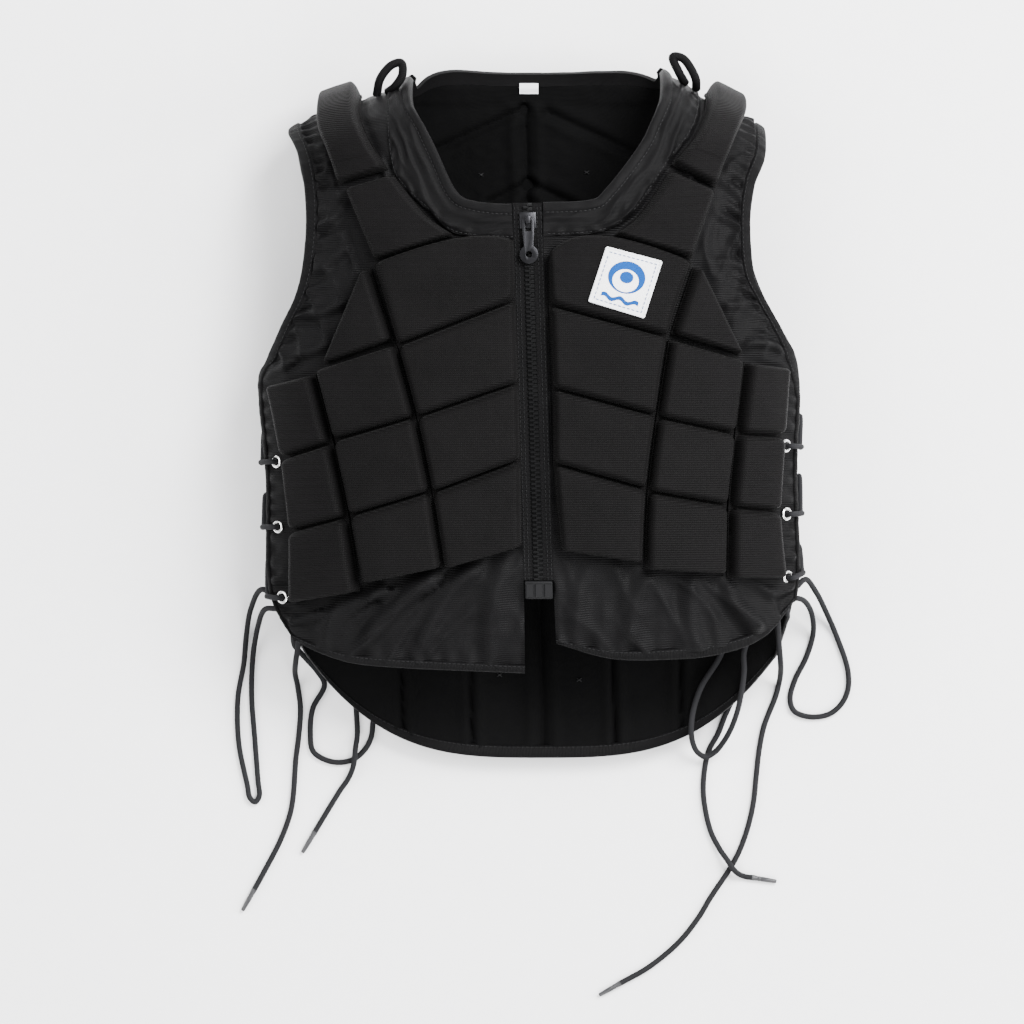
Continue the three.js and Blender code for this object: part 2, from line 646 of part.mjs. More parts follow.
// The band round the neck: up one front from the zip, behind the neck and down the other front
function neckBand() {
  const half = ({ rows, neck }) => {
    const last = neck[neck.length - 1];
    const free = neck.map((row) => onFront(row.x, row.y)).concat(overFold(out(last.x), 0));
    const sewn = free.map((_, k) => rows[NECK_ROW + k].near);
    const spot = (list, at) => {
      const k = Math.min(list.length - 2, Math.floor(at));
      return mix(list[k], list[k + 1], at - k);
    };
    const places = FRONT_STATIONS.map((v) => v - NECK_ROW).filter((v) => v >= 0 && v < free.length - 0.5);
    const stations = places.map((at) => ({ free: spot(free, at), sewn: spot(sewn, at) }));
    const corner = overFold(sewn[sewn.length - 1].x, SHOULDER_SEAM_PAST);
    stations.push({ free: overFold(out(last.x), SHOULDER_SEAM_PAST / 2), sewn: corner });
    return stations;
  };
  const [right, left] = SIDES.map(half);
  const behind = BACK_LINES.filter((share) => Math.abs(share) < 0.6).map((share) => {
    const neck = share < 0 ? RIGHT_NECK : LEFT_NECK;
    const edge = Math.abs(neck[neck.length - 1].x) - 0.01;
    const t = smooth(BACK_START, "out", "share", share);
    const inward = Math.sign(share) * Math.min(Math.abs(share), edge);
    return {
      free: overFold(out(inward), SHOULDER_SEAM_PAST / 2 + (NECK_EDGE_PAST - SHOULDER_SEAM_PAST / 2) * t),
      sewn: overFold(out(share), backStart(out(share))),
    };
  });
  const stations = [...right, ...behind, ...left.reverse()];
  const place = (u, j) => {
    const { free, sewn } = stations[j];
    const length = Math.hypot(sewn.x - free.x, sewn.s - free.s);
    return mix(free, sewn, u * (1 - (CLEARANCE * 2) / length));
  };
  const down = range(0, stations.length - 1, stations.length - 1);
  const high = (u) => (u === 0.5 ? NECK_BAND_PROUD : BINDING_PROUD);
  return sheet([0, 0.5, 1], down, place, level(-CLOTH), high);
}

// Pads: full height between the seams, sunk to a thin web along them
function padLines(table) {
  const spot = (x, y) => onFront(x, y);
  return table.map((row) => ({
    near: spot(row.nearX, row.nearY),
    far: spot(row.farX, row.farY),
    mid: row.midX === undefined ? null : spot(row.midX, row.midY),
    seam: row.seam,
  }));
}

function padSpot(lines, u, v) {
  const i = Math.min(lines.length - 2, Math.floor(v));
  const on = (line) => {
    const mid = line.mid || mix(line.near, line.far, 0.5);
    return u < 0.5 ? mix(line.near, mid, 2 * u) : mix(mid, line.far, 2 * u - 1);
  };
  return mix(on(lines[i]), on(lines[i + 1]), v - i);
}

// Places across or down a run of pads, with each one's height share
function padStations(seams, bevels, extra) {
  const found = [];
  for (let k = 0; k < seams.length - 1; k++) {
    const [from, to] = [seams[k], seams[k + 1]];
    found.push({ at: from, full: 0 }, { at: from + bevels[k], full: 1 });
    for (const inside of extra.filter((value) => value > from && value < to))
      found.push({ at: inside, full: 1 });
    found.push({ at: to - bevels[k], full: 1 });
  }
  found.push({ at: seams[seams.length - 1], full: 0 });
  return found;
}

function padSheet(place, across, down) {
  const height = (u, v) => {
    const full = across.find((one) => one.at === u).full * down.find((one) => one.at === v).full;
    return PAD_GAP + WEB + (PAD_HEIGHT - WEB) * full;
  };
  const list = (stations) => stations.map((one) => one.at);
  return sheet(list(across), list(down), place, level(PAD_GAP), height);
}

function padStrip(lines, between = [0.33, 0.67], finer = 1) {
  const seams = lines.flatMap((line, i) => (line.seam ? [i] : []));
  const gap = (a, b) => Math.hypot(a.x - b.x, a.s - b.s);
  const width = lines.reduce((sum, line) => sum + gap(line.near, line.far), 0) / lines.length;
  const bevels = seams.slice(1).map((to, k) => {
    const from = seams[k];
    const span = gap(padSpot(lines, 0.5, from), padSpot(lines, 0.5, to));
    return ((to - from) * PAD_BEVEL) / span;
  });
  const count = (lines.length - 1) * finer;
  const inner = range(0, lines.length - 1, count).filter((v) => finer > 1 || !lines[v].seam);
  const across = padStations([0, 1], [PAD_BEVEL / width], between);
  return padSheet((u, v) => padSpot(lines, u, v), across, padStations(seams, bevels, inner));
}

function shoulderLines(table) {
  const lines = padLines(table);
  const last = table[table.length - 1];
  lines[lines.length - 1].seam = 0;
  const past = SHOULDER_SEAM_PAST * SHOULDER_PAD_PAST;
  for (const share of [-1, 1])
    lines.push({
      near: overFold(out(last.nearX), past * share),
      far: overFold(out(last.farX), past * share),
      mid: null,
      seam: share > 0 ? 1 : 0,
    });
  return lines;
}

function backCentrePads() {
  const rows = BACK_CENTRE_SEAMS;
  const half = out(BACK_CENTRE_HALF);
  const place = (u, v) => {
    const i = Math.min(rows.length - 2, Math.floor(v));
    const at = (key) => rows[i][key] + (rows[i + 1][key] - rows[i][key]) * (v - i);
    const y = up(at("up") - at("fall") * Math.abs(u));
    return onBack(zipX(y) + half * u, y);
  };
  const across = padStations([-1, 0, 1], [PAD_BEVEL / half, PAD_BEVEL / half], []);
  const seams = rows.map((_, i) => i);
  const bevels = seams.slice(1).map((i) => PAD_BEVEL / ((rows[i].up - rows[i - 1].up) * BODY_LENGTH));
  return padSheet(place, across, padStations(seams, bevels, []));
}

function backSidePads(side) {
  const rows = BACK_SIDE_SEAMS;
  const place = (u, v) => {
    const i = Math.min(rows.length - 2, Math.floor(v));
    const at = (key) => rows[i][key] + (rows[i + 1][key] - rows[i][key]) * (v - i);
    const inner = zipX(up(at("up"))) + side * (out(BACK_CENTRE_HALF) + CLEARANCE * 2);
    const outer = side * out(at("outer"));
    return onBack(inner + (outer - inner) * u, up(at("up")));
  };
  const across = padStations([0, 1], [PAD_BEVEL / out(SIDE_PAD_SHARE)], SIDE_PAD_STATIONS);
  const seams = rows.map((_, i) => i);
  const bevels = seams.slice(1).map((i) => PAD_BEVEL / ((rows[i].up - rows[i - 1].up) * BODY_LENGTH));
  return padSheet(place, across, padStations(seams, bevels, []));
}

// Boolean cuts
function solidOf(geometry) {
  const bare = geometry.clone();
  bare.deleteAttribute("normal");
  if (bare.hasAttribute("uv")) bare.deleteAttribute("uv");
  const merged = mergeVertices(bare, 1e-4);
  return new wasm.Manifold(
    new wasm.Mesh({
      numProp: 3,
      vertProperties: merged.attributes.position.array,
      triVerts: new Uint32Array(merged.index.array),
    }),
  );
}

function geometryOf(solid) {
  const { vertProperties, triVerts } = solid.getMesh();
  const geometry = new THREE.BufferGeometry();
  geometry.setAttribute("position", new THREE.BufferAttribute(vertProperties, 3));
  geometry.setIndex(new THREE.BufferAttribute(triVerts, 1));
  geometry.computeVertexNormals();
  return geometry;
}

// Eyelets stand square to the cloth: the turn and place of one at a spot
function squareTo(spot) {
  const turn = new THREE.Quaternion().setFromUnitVectors(
    new THREE.Vector3(0, 1, 0),
    outward(spot.x, spot.s),
  );
  return new THREE.Matrix4().compose(cloth(spot.x, spot.s), turn, new THREE.Vector3(1, 1, 1));
}

function eyelet() {
  const high = CLEARANCE + EYELET_FLANGE;
  const low = -CLOTH - CLEARANCE;
  return new THREE.LatheGeometry(
    [
      new THREE.Vector2(EYELET_BORE, low),
      new THREE.Vector2(EYELET_BARREL, CLEARANCE),
      new THREE.Vector2(EYELET_RADIUS, CLEARANCE),
      new THREE.Vector2(EYELET_BORE, high),
      new THREE.Vector2(EYELET_BORE, low),
    ],
    EYELET_SIDES,
  );
}

function pierced(geometry, spots) {
  let solid = solidOf(geometry);
  for (const spot of spots) {
    const drill = new THREE.CylinderGeometry(
      EYELET_BARREL + CLEARANCE, EYELET_BARREL + CLEARANCE, 6 * CLOTH, EYELET_SIDES,
    );
    solid = solid.subtract(solidOf(drill.applyMatrix4(squareTo(spot))));
  }
  return geometryOf(solid);
}

// Each eyelet's spot on the cloth, and the cloth's edge beside it
for (const one of SIDES) {
  one.frontEyelets = one.eyelets.map(({ frontRow: v }) => ({
    ...frontSpot(one.rows, one.hem, 1 - EYELET_INSET / rowLength(one.rows, v), v),
    edge: frontSpot(one.rows, one.hem, 1, v),
  }));
  one.backEyelets = one.eyelets.map(({ backRow: v }) => {
    const inset = EYELET_INSET / backWidth(v);
    return {
      ...backSpot(one.side < 0 ? inset : 1 - inset, v),
      edge: backSpot(one.side < 0 ? 0 : 1, v),
    };
  });
}

// A path through chosen points, smoothed and stepped by length
const CORD_LIFT = CORD_DIAMETER / 2 + 0.05;
class Route extends THREE.Curve {
  constructor(points, step) {
    super();
    const curve = new THREE.CatmullRomCurve3(points, false, "centripetal");
    this.steps = Math.max(3, Math.round(curve.getLength() / step));
    this.spots = curve.getSpacedPoints(this.steps);
    for (const spot of this.spots) spot.z = Math.max(spot.z, CORD_LIFT);
  }
  getPoint(t) {
    const at = t * this.steps;
    const i = Math.min(this.steps - 1, Math.floor(at));
    return this.spots[i].clone().lerp(this.spots[i + 1], at - i);
  }
  getPointAt(t) {
    return this.getPoint(t);
  }
}

function tube(points, diameter, sides, step) {
  const round = new THREE.Shape();
  for (let i = 0; i < sides; i++) {
    const angle = (2 * Math.PI * i) / sides;
    const spot = [(diameter / 2) * Math.cos(angle), (diameter / 2) * Math.sin(angle)];
    if (i) round.lineTo(...spot);
    else round.moveTo(...spot);
  }
  const path = new Route(points, step);
  return new THREE.ExtrudeGeometry(round, { steps: path.steps, extrudePath: path });
}

// Lacing: through each eyelet from the back's to the front's round the outside, then down inside
const KNOTS = {
  right: new THREE.Vector3(-188, -158, 52),
  left: new THREE.Vector3(196, -148, 54),
};
function lacing(one) {
  const points = [];
  const beyond = (spot, away, height) => {
    const edge = cloth(spot.edge.x, spot.edge.s);
    const outside = edge.clone().sub(cloth(spot.x, spot.s)).normalize();
    return edge.addScaledVector(outside, away).addScaledVector(outward(spot.x, spot.s), height);
  };
  one.backEyelets.forEach((back, k) => {
    const front = one.frontEyelets[k];
    points.push(lifted(back, -LACE_STAND - CLOTH), lifted(back, -CLOTH / 2), lifted(back, LACE_STAND));
    points.push(beyond(back, 0, LACE_STAND), beyond(back, LACE_ROUND, 0));
    points.push(beyond(front, LACE_ROUND, 0), beyond(front, 0, LACE_STAND));
    points.push(lifted(front, LACE_STAND), lifted(front, -CLOTH / 2), lifted(front, -LACE_STAND - CLOTH));
  });
  const knot = KNOTS[one.name];
  points.push(knot.clone().add(new THREE.Vector3(0, KNOT_RADIUS / 2, 1.2 * KNOT_RADIUS)), knot);
  const ball = new THREE.IcosahedronGeometry(KNOT_RADIUS, 1).translate(knot.x, knot.y, knot.z);
  const cord = tube(points, CORD_DIAMETER, LACE_SIDES, LACE_STEP * CORD_DIAMETER);
  return geometryOf(solidOf(cord).add(solidOf(ball)));
}

// Routes of the free cords from each knot, with the length of the tip on a free end
const FREE_CORDS = {
  right_cord_side_loop: [
    [-193.4, -151.5, 52.7], [-206, -146, 52], [-216, -140, 46], [-226, -156, 18], [-230, -178, 3],
    [-232, -200, CORD_LIFT], [-236.8, -228.4, CORD_LIFT], [-236, -264.4, CORD_LIFT],
    [-228, -300.4, CORD_LIFT], [-225, -310, CORD_LIFT], [-220.6, -311, CORD_LIFT],
    [-221.6, -296, CORD_LIFT], [-223.2, -260, CORD_LIFT], [-225.6, -228.4, CORD_LIFT],
    [-224.8, -196.4, CORD_LIFT], [-220.8, -172, 14], [-214, -156, 40], [-206, -155.5, 49],
    [-197, -156.8, 54],
  ],
  right_cord_long_end: [
    [-186.5, -166.2, 53.5], [-187.5, -184, 45], [-189.5, -197, 34], [-190.5, -208, 12],
    [-188.5, -219, CORD_LIFT], [-186.4, -236.4, CORD_LIFT], [-188, -260.4, CORD_LIFT],
    [-190, -276.4, CORD_LIFT], [-193.6, -316.4, CORD_LIFT], [-201.6, -340.4, CORD_LIFT],
    [-216, -368.4, CORD_LIFT], [-224, -382.8, CORD_LIFT],
  ],
  right_cord_hem_loop: [
    [-190.9, -165.1, 48.4], [-195, -176, 43], [-199, -184, 33], [-195, -188, 16], [-184, -196, 4],
    [-173, -206, CORD_LIFT], [-167, -217, CORD_LIFT], [-176.5, -236.4, CORD_LIFT],
    [-178.4, -256.4, CORD_LIFT], [-176, -271, CORD_LIFT], [-161.6, -279, CORD_LIFT],
    [-145.6, -278, CORD_LIFT], [-135, -270, CORD_LIFT], [-129.6, -260, CORD_LIFT],
    [-128, -248, CORD_LIFT], [-126.5, -234, CORD_LIFT], [-134, -212, CORD_LIFT],
    [-150, -191, CORD_LIFT], [-170, -176, 4], [-188, -168, 9], [-203, -163, 20],
    [-208, -161, 34], [-203, -160.5, 45], [-195.2, -160.6, 48.4],
  ],
  right_cord_short_end: [
    [-195.6, -163.8, 54], [-201.5, -168.5, 48], [-204, -173, 34], [-199, -176.5, 18], [-185, -183, 5],
    [-168, -194, CORD_LIFT], [-151, -212, CORD_LIFT], [-142.5, -231, CORD_LIFT],
    [-141, -246, CORD_LIFT], [-140.6, -258, 3], [-142, -268, 7], [-143.6, -282, 7.4],
    [-148, -293, 3], [-153.6, -301, CORD_LIFT], [-165.6, -320.4, CORD_LIFT],
    [-175.2, -336.4, CORD_LIFT],
  ],
  left_cord_side_loop: [
    [203.5, -144.5, 54], [212, -138, 51], [219, -132, 46], [228, -142, 30], [237, -159, 10],
    [245, -177, CORD_LIFT], [254.4, -205, CORD_LIFT], [254.6, -221, CORD_LIFT],
    [249, -233, CORD_LIFT], [238.4, -241.2, CORD_LIFT], [222.4, -242.8, CORD_LIFT],
    [211, -238, CORD_LIFT], [208, -228.4, CORD_LIFT], [212, -213, CORD_LIFT],
    [221, -195, CORD_LIFT], [226.4, -176.4, 5], [225, -160, 20], [218, -149, 40], [211, -147, 49],
    [204.5, -147.5, 52.5],
  ],
  left_cord_long_end: [
    [196.3, -156, 51.5], [197.5, -172, 45.5], [198.4, -186, 43.5], [199.5, -198, 38],
    [200, -207, 20], [199, -216, 4], [196.5, -226, CORD_LIFT], [187.2, -250, CORD_LIFT],
    [183.2, -269.2, CORD_LIFT], [180.8, -290, CORD_LIFT], [178.4, -312.4, CORD_LIFT],
    [173.6, -333.2, CORD_LIFT], [167.2, -350.8, CORD_LIFT], [160, -364.4, CORD_LIFT],
    [144, -388.4, CORD_LIFT], [134.4, -404.4, CORD_LIFT], [118.4, -424.4, CORD_LIFT],
    [94.4, -444.4, CORD_LIFT], [70.4, -458, CORD_LIFT],
  ],
  left_cord_hem_loop: [
    [187.8, -148.5, 53], [172, -160, 45], [158, -178, 34], [150.4, -195.6, 28], [136, -218.8, 25.5],
    [129.6, -238, 25.5], [128, -252, 26], [129.5, -264, 20], [134, -272, 11], [140, -275, 8],
    [147.5, -271, 9], [154, -263, 16], [160, -252, 25], [165, -238, 31], [168.6, -221, 33.5],
    [170.4, -205, 34], [170.4, -190, 36], [178, -172, 43], [185, -161, 48.5], [190.6, -153, 51.2],
  ],
  left_cord_short_end: [
    [203, -151, 50.5], [211, -158, 45], [215, -163, 34], [208, -169, 18], [195, -180, 6],
    [182, -196, CORD_LIFT], [168, -217, CORD_LIFT], [156, -241.2, CORD_LIFT],
    [150, -256.4, CORD_LIFT], [142.6, -270, CORD_LIFT], [138.6, -290, CORD_LIFT],
    [138.4, -308, CORD_LIFT], [143.6, -334, CORD_LIFT], [151, -349, 3.5], [157.5, -358.5, 7.2],
    [164, -367.5, 7], [171, -371.4, CORD_LIFT], [178.5, -372.6, CORD_LIFT],
  ],
};

function aglet(points) {
  const [before, end] = points.slice(-2).map((p) => new THREE.Vector3(...p));
  const along = end.clone().sub(before).setZ(0).normalize();
  const middle = end.clone().addScaledVector(along, 2 * CLEARANCE + AGLET_LENGTH / 2);
  const turn = new THREE.Quaternion().setFromUnitVectors(new THREE.Vector3(0, 1, 0), along);
  const tip = new THREE.CylinderGeometry(
    AGLET_DIAMETER / 2 - AGLET_TAPER, AGLET_DIAMETER / 2, AGLET_LENGTH, CORD_SIDES,
  );
  return tip.applyMatrix4(new THREE.Matrix4().compose(middle, turn, new THREE.Vector3(1, 1, 1)));
}

// Hanging loops, sewn to the shoulders just outside the neck band
const LOOP_ROUTES = {
  right: [
    { x: -129, past: -20, forward: 0, rise: 0 }, { x: -125, past: -20, forward: 12, rise: 7 },
    { x: -114, past: -20, forward: 21, rise: 9 }, { x: -104, past: -20, forward: 19, rise: 10 },
    { x: -103, past: -20, forward: 8, rise: 11 }, { x: -112, past: -20, forward: 2, rise: 8 },
    { x: -120.5, past: -20, forward: 0, rise: 0 },
  ],
  left: [
    { x: 122, past: -20, forward: 3.6, rise: 0 }, { x: 117, past: -20, forward: 9, rise: 9 },
    { x: 112, past: -20, forward: 18, rise: 9 }, { x: 120, past: -20, forward: 22, rise: 8 },
    { x: 130, past: -20, forward: 12, rise: 9 }, { x: 131, past: -20, forward: 3.6, rise: 0 },
  ],
};
function hangLoop(name) {
  const points = LOOP_ROUTES[name].map(({ x, past, forward, rise }) =>
    lifted(overFold(x, past), LOOP_SEAT).add(new THREE.Vector3(0, forward, rise)));
  return tube(points, LOOP_DIAMETER, LOOP_SIDES, LOOP_STEP * LOOP_DIAMETER);
}

// Zip: strips of cloth and teeth beside and along the centre line
function zipStrip(from, to, side, inner, outer, low, high, steps) {
  const place = (u, y) => ({ x: zipX(y) + side * (inner + (outer - inner) * u), s: y });
  return sheet([0, 1], range(from, to, steps), place, level(low), level(high));
}

// A piece drawn flat on the zip line at a height up the vest
function zipFrame(yShare, height) {
  const y = up(yShare);
  const step = 5;
  const spot = (at) => cloth(zipX(at), at);
  const along = spot(y + step).sub(spot(y - step)).normalize();
  const square = outward(zipX(y), y);
  const acrossZip = along.clone().cross(square).normalize();
  const origin = spot(y).addScaledVector(square, height);
  return new THREE.Matrix4().makeBasis(acrossZip, along, acrossZip.clone().cross(along)).setPosition(origin);
}

const CHAIN_TOP = ZIP_CHAIN_PROUD + CLEARANCE;
const PIVOT_RADIUS = Math.hypot(PIVOT_BAR / 2, PULL_THICKNESS / 2) + PIVOT_ROOM;
const PIVOT_HEIGHT = CHAIN_TOP + SLIDER_PLATE + PIVOT_RADIUS;

function extruded(corners, depth) {
  const outline = new THREE.Shape(corners.map(([x, y]) => new THREE.Vector2(x, y)));
  return new THREE.ExtrudeGeometry(outline, { depth, bevelEnabled: false });
}

// The slider straddles the teeth, and its crown holds the pull's bar
function slider() {
  const inside = ZIP_CHAIN_HALF + CLEARANCE;
  const plate = CHAIN_TOP + SLIDER_PLATE;
  const body = extruded(
    [
      [-SLIDER_HALF, CLEARANCE], [-inside, CLEARANCE], [-inside, CHAIN_TOP], [inside, CHAIN_TOP],
      [inside, CLEARANCE], [SLIDER_HALF, CLEARANCE], [SLIDER_HALF, plate], [-SLIDER_HALF, plate],
    ],
    SLIDER_LENGTH,
  );
  body.rotateX(Math.PI / 2).translate(0, SLIDER_LENGTH / 2, 0);
  const inner = PIVOT_RADIUS;
  const outer = inner + CROWN_WALL;
  const sink = 0.5;
  const crown = extruded(
    [
      [-outer, -sink], [-inner, -sink], [-inner, 2 * inner], [inner, 2 * inner],
      [inner, -sink], [outer, -sink], [outer, 2 * inner + CROWN_WALL], [-outer, 2 * inner + CROWN_WALL],
    ],
    2 * CROWN_HALF,
  );
  crown.rotateX(Math.PI / 2).rotateZ(Math.PI / 2).translate(-CROWN_HALF, 0, plate);
  return geometryOf(solidOf(body).add(solidOf(crown)));
}

// The pull: a bar under the crown, a slotted neck and a holed round end, its pivot at the origin
function pull() {
  const centre = PIVOT_BAR / 2 - PULL_LENGTH + PULL_RING_RADIUS;
  const bend = Math.asin((PULL_NECK_HALF * 0.8) / PULL_RING_RADIUS);
  const outline = new THREE.Shape();
  outline.moveTo(-PULL_NECK_HALF, PIVOT_BAR / 2);
  const neckEnd = -PIVOT_BAR / 2 - PULL_SLOT_LENGTH - PULL_WALL;
  outline.lineTo(-PULL_NECK_HALF, neckEnd);
  outline.absarc(0, centre, PULL_RING_RADIUS, Math.PI / 2 + bend, Math.PI * 2.5 - bend, false);
  outline.lineTo(PULL_NECK_HALF, neckEnd);
  outline.lineTo(PULL_NECK_HALF, PIVOT_BAR / 2);
  const slot = new THREE.Path();
  const top = -PIVOT_BAR / 2;
  slot.moveTo(-PULL_SLOT_HALF, top);
  slot.lineTo(PULL_SLOT_HALF, top);
  slot.lineTo(PULL_SLOT_HALF, top - PULL_SLOT_LENGTH);
  slot.lineTo(-PULL_SLOT_HALF, top - PULL_SLOT_LENGTH);
  const hole = new THREE.Path().absarc(0, centre, PULL_HOLE_RADIUS, 0, 2 * Math.PI, true);
  outline.holes.push(slot, hole);
  const tab = new THREE.ExtrudeGeometry(outline, {
    depth: PULL_THICKNESS, bevelEnabled: false, curveSegments: 8,
  });
  return tab.translate(0, 0, -PULL_THICKNESS / 2).rotateX(THREE.MathUtils.degToRad(PULL_REST_TILT));
}

function patch() {
  const [a, b, c, d] = PATCH_CORNERS.map((corner) => onFront(corner.x, corner.y));
  const place = (u, v) => mix(mix(a, b, u), mix(d, c, u), v);
  const seat = PAD_GAP + PAD_HEIGHT + CLEARANCE;
  return sheet([0, 0.5, 1], [0, 0.5, 1], place, level(seat), level(seat + PATCH_THICKNESS));
}

function neckTag() {
  const place = (u, v) => onBack(out(TAG_PLACE.x) + TAG_WIDTH * (u - 0.5), up(v));
  const inside = -CLOTH - CLEARANCE;
  const rows = [TAG_PLACE.low, TAG_PLACE.high];
  return sheet([0, 1], rows, place, level(inside - TAG_THICKNESS), level(inside));
}

// Build
const LINING = { color: 0x0d0d0e, roughness: 0.9, metalness: 0 };
const FABRIC = { color: 0x1f1f21, roughness: 0.8, metalness: 0 };
const PADDED = { color: 0x2a292b, roughness: 0.75, metalness: 0 };
const PLASTIC = { color: 0x3c3d40, roughness: 0.45, metalness: 0 };
const STEEL = { color: 0xd8dadc, roughness: 0.25, metalness: 1 };
const LABEL = { color: 0xf2f2f0, roughness: 0.7, metalness: 0 };
const CORD = { color: 0x2e2e30, roughness: 0.85, metalness: 0 };

const vest = new THREE.Group();
function add(name, geometry, look) {
  const mesh = new THREE.Mesh(geometry, new THREE.MeshStandardMaterial(look));
  mesh.name = name;
  vest.add(mesh);
  return mesh;
}

for (const one of SIDES) {
  add(`front_${one.name}_shell`, pierced(frontShell(one), one.frontEyelets), FABRIC);
  add(`front_${one.name}_hem_binding`, frontHemBinding(one), FABRIC);
  add(`${one.name}_edge_binding`, edgeBinding(one), FABRIC);
  for (const [name, table] of Object.entries(one.pads)) {
    const shoulder = name === "shoulder_pad";
    const lines = shoulder ? shoulderLines(table) : padLines(table);
    const between = name === "pad_column_1" ? [0.34, 0.67] : [0.5];
    add(`${one.name}_${name}`, padStrip(lines, between, shoulder ? 3 : 1), PADDED);
  }
  add(`back_${one.name}_pads`, backSidePads(one.side), PADDED);
}
add("back_shell", pierced(backShell(), SIDES.flatMap((one) => one.backEyelets)), LINING);
add("back_centre_pads", backCentrePads(), PADDED);
add("back_hem_binding", backHemBinding(), FABRIC);
add("neck_band", neckBand(), FABRIC);

const zipFrom = up(ZIP_BOTTOM) + BOX_LENGTH + CLEARANCE;
const zipTo = up(ZIP_TOP);
const chainEdge = ZIP_CHAIN_HALF + CLEARANCE;
const tapeEdge = ZIP_TAPE_HALF - CLEARANCE;
for (const { name, side } of SIDES)
  add(`zip_tape_${name}`,
    zipStrip(zipFrom, zipTo, side, chainEdge, tapeEdge, -TAPE_THICKNESS, 0, 8), FABRIC);
add("zip_chain",
  zipStrip(zipFrom, zipTo, 1, -ZIP_CHAIN_HALF, ZIP_CHAIN_HALF, -TAPE_THICKNESS, ZIP_CHAIN_PROUD, 10),
  PLASTIC);
add("zip_box",
  zipStrip(up(ZIP_BOTTOM), zipFrom - CLEARANCE, 1, -BOX_HALF, BOX_HALF, -BOX_THICKNESS / 2, BOX_THICKNESS / 2, 1),
  PLASTIC);
add("zip_slider", slider().applyMatrix4(zipFrame(SLIDER_TOP - SLIDER_LENGTH / 2 / BODY_LENGTH, 0)), PLASTIC);
const zipPull = add("zip_pull", pull(), PLASTIC);
zipPull.applyMatrix4(zipFrame(SLIDER_TOP - SLIDER_LENGTH / 2 / BODY_LENGTH, PIVOT_HEIGHT));

add("chest_patch", patch(), LABEL);
add("neck_tag", neckTag(), LABEL);
for (const one of SIDES) {
  add(`${one.name}_hang_loop`, hangLoop(one.name), FABRIC);
  for (const [panel, spots] of [["front", one.frontEyelets], ["back", one.backEyelets]])
    spots.forEach((spot, k) =>
      add(`${panel}_${one.name}_eyelet_${k + 1}`, eyelet().applyMatrix4(squareTo(spot)), STEEL));
  add(`${one.name}_lacing`, lacing(one), CORD);
}

// The body stands with its middle over the origin, and the free cords lie round it
const box = new THREE.Box3().setFromObject(vest);
const middle = box.getCenter(new THREE.Vector3());
vest.position.set(-middle.x, -middle.y, -box.min.z);
for (const [name, points] of Object.entries(FREE_CORDS)) {
  const spots = points.map((p) => new THREE.Vector3(...p));
  add(name, tube(spots, CORD_DIAMETER, CORD_SIDES, CORD_STEP * CORD_DIAMETER), CORD);
  if (name.endsWith("end")) add(name.replace("cord", "tip"), aglet(points), PLASTIC);
}

export default vest;
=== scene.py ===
"""A lace-sided, zip-front padded riding vest lying on its back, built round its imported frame.

Shapes are worked out in millimetres on the vest's own cloth surface, where x runs across the vest and s
runs along the cloth: up the front, over the shoulders and down the back. make() moves them into the frame,
in metres.
"""
import math

import bmesh
import bpy
import numpy as np
from bpy.props import FloatProperty, FloatVectorProperty, IntProperty, PointerProperty
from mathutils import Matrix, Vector


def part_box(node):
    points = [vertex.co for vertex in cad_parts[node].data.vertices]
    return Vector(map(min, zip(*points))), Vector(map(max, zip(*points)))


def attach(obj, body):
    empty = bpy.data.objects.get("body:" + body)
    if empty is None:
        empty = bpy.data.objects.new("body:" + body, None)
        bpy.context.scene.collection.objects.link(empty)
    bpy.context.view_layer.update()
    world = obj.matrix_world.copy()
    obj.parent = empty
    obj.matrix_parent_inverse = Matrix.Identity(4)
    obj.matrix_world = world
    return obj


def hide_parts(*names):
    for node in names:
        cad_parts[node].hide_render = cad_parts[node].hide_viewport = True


bl_info = {
    "name": "Padded Riding Vest",
    "version": (1, 0, 0),
    "blender": (4, 5, 0),
    "location": "View3D > Sidebar > Riding Vest",
    "description": "Builds a lace-sided, zip-front padded riding vest round its frame",
    "category": "Object",
}

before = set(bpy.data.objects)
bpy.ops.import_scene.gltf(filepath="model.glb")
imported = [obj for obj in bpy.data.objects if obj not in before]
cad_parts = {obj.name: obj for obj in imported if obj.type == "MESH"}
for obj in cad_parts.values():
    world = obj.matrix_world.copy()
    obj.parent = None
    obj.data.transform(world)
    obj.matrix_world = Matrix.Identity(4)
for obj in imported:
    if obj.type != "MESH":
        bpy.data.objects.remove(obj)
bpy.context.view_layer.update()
MM = 0.001

# The vest's body, as in the frame
BODY_LENGTH = 556
HALF_WIDTH = 219
FRONT_PEAK = 134
FRONT_EDGE_DATUM = 40
FRONT_ROUNDNESS = 2.6
FRONT_REACH = 1.014
BACK_FLAT_HALF = 110
BACK_SIDE_RISE = 26
SHOULDER_HEIGHT = 42
FRONT_CURL = 50
FRONT_CURL_LENGTH = 100
BACK_CURL = 50
BACK_CURL_LENGTH = 64
SHOULDER_SEAM_PAST = 11
NECK_EDGE_PAST = 28
NECK_EDGE_WIDTH = 11
CLOTH = 3
PAD_GAP = 0.9
PAD_HEIGHT = 15
WEB = 2
BINDING_WIDTH = 10
PIPING_WIDTH = 3
ZIP_TAPE_HALF = 12
# How far the panels reach under their bindings, in millimetres and in rows
TUCK = 1.6
HEM_TUCK = 0.12
NECK_ROW = 5
# The zip's ends in shares up, the height of its box, and where its tapes widen under the neck band
ZIP_BOTTOM = 0.236
ZIP_TOP = 0.802
ZIP_BOX_HEIGHT = 14.4
ZIP_NECK_START = 32
EYELET_INSET = 9.5
CORD_DIAMETER = 4.5
CORD_LIFT = CORD_DIAMETER / 2 + 0.05
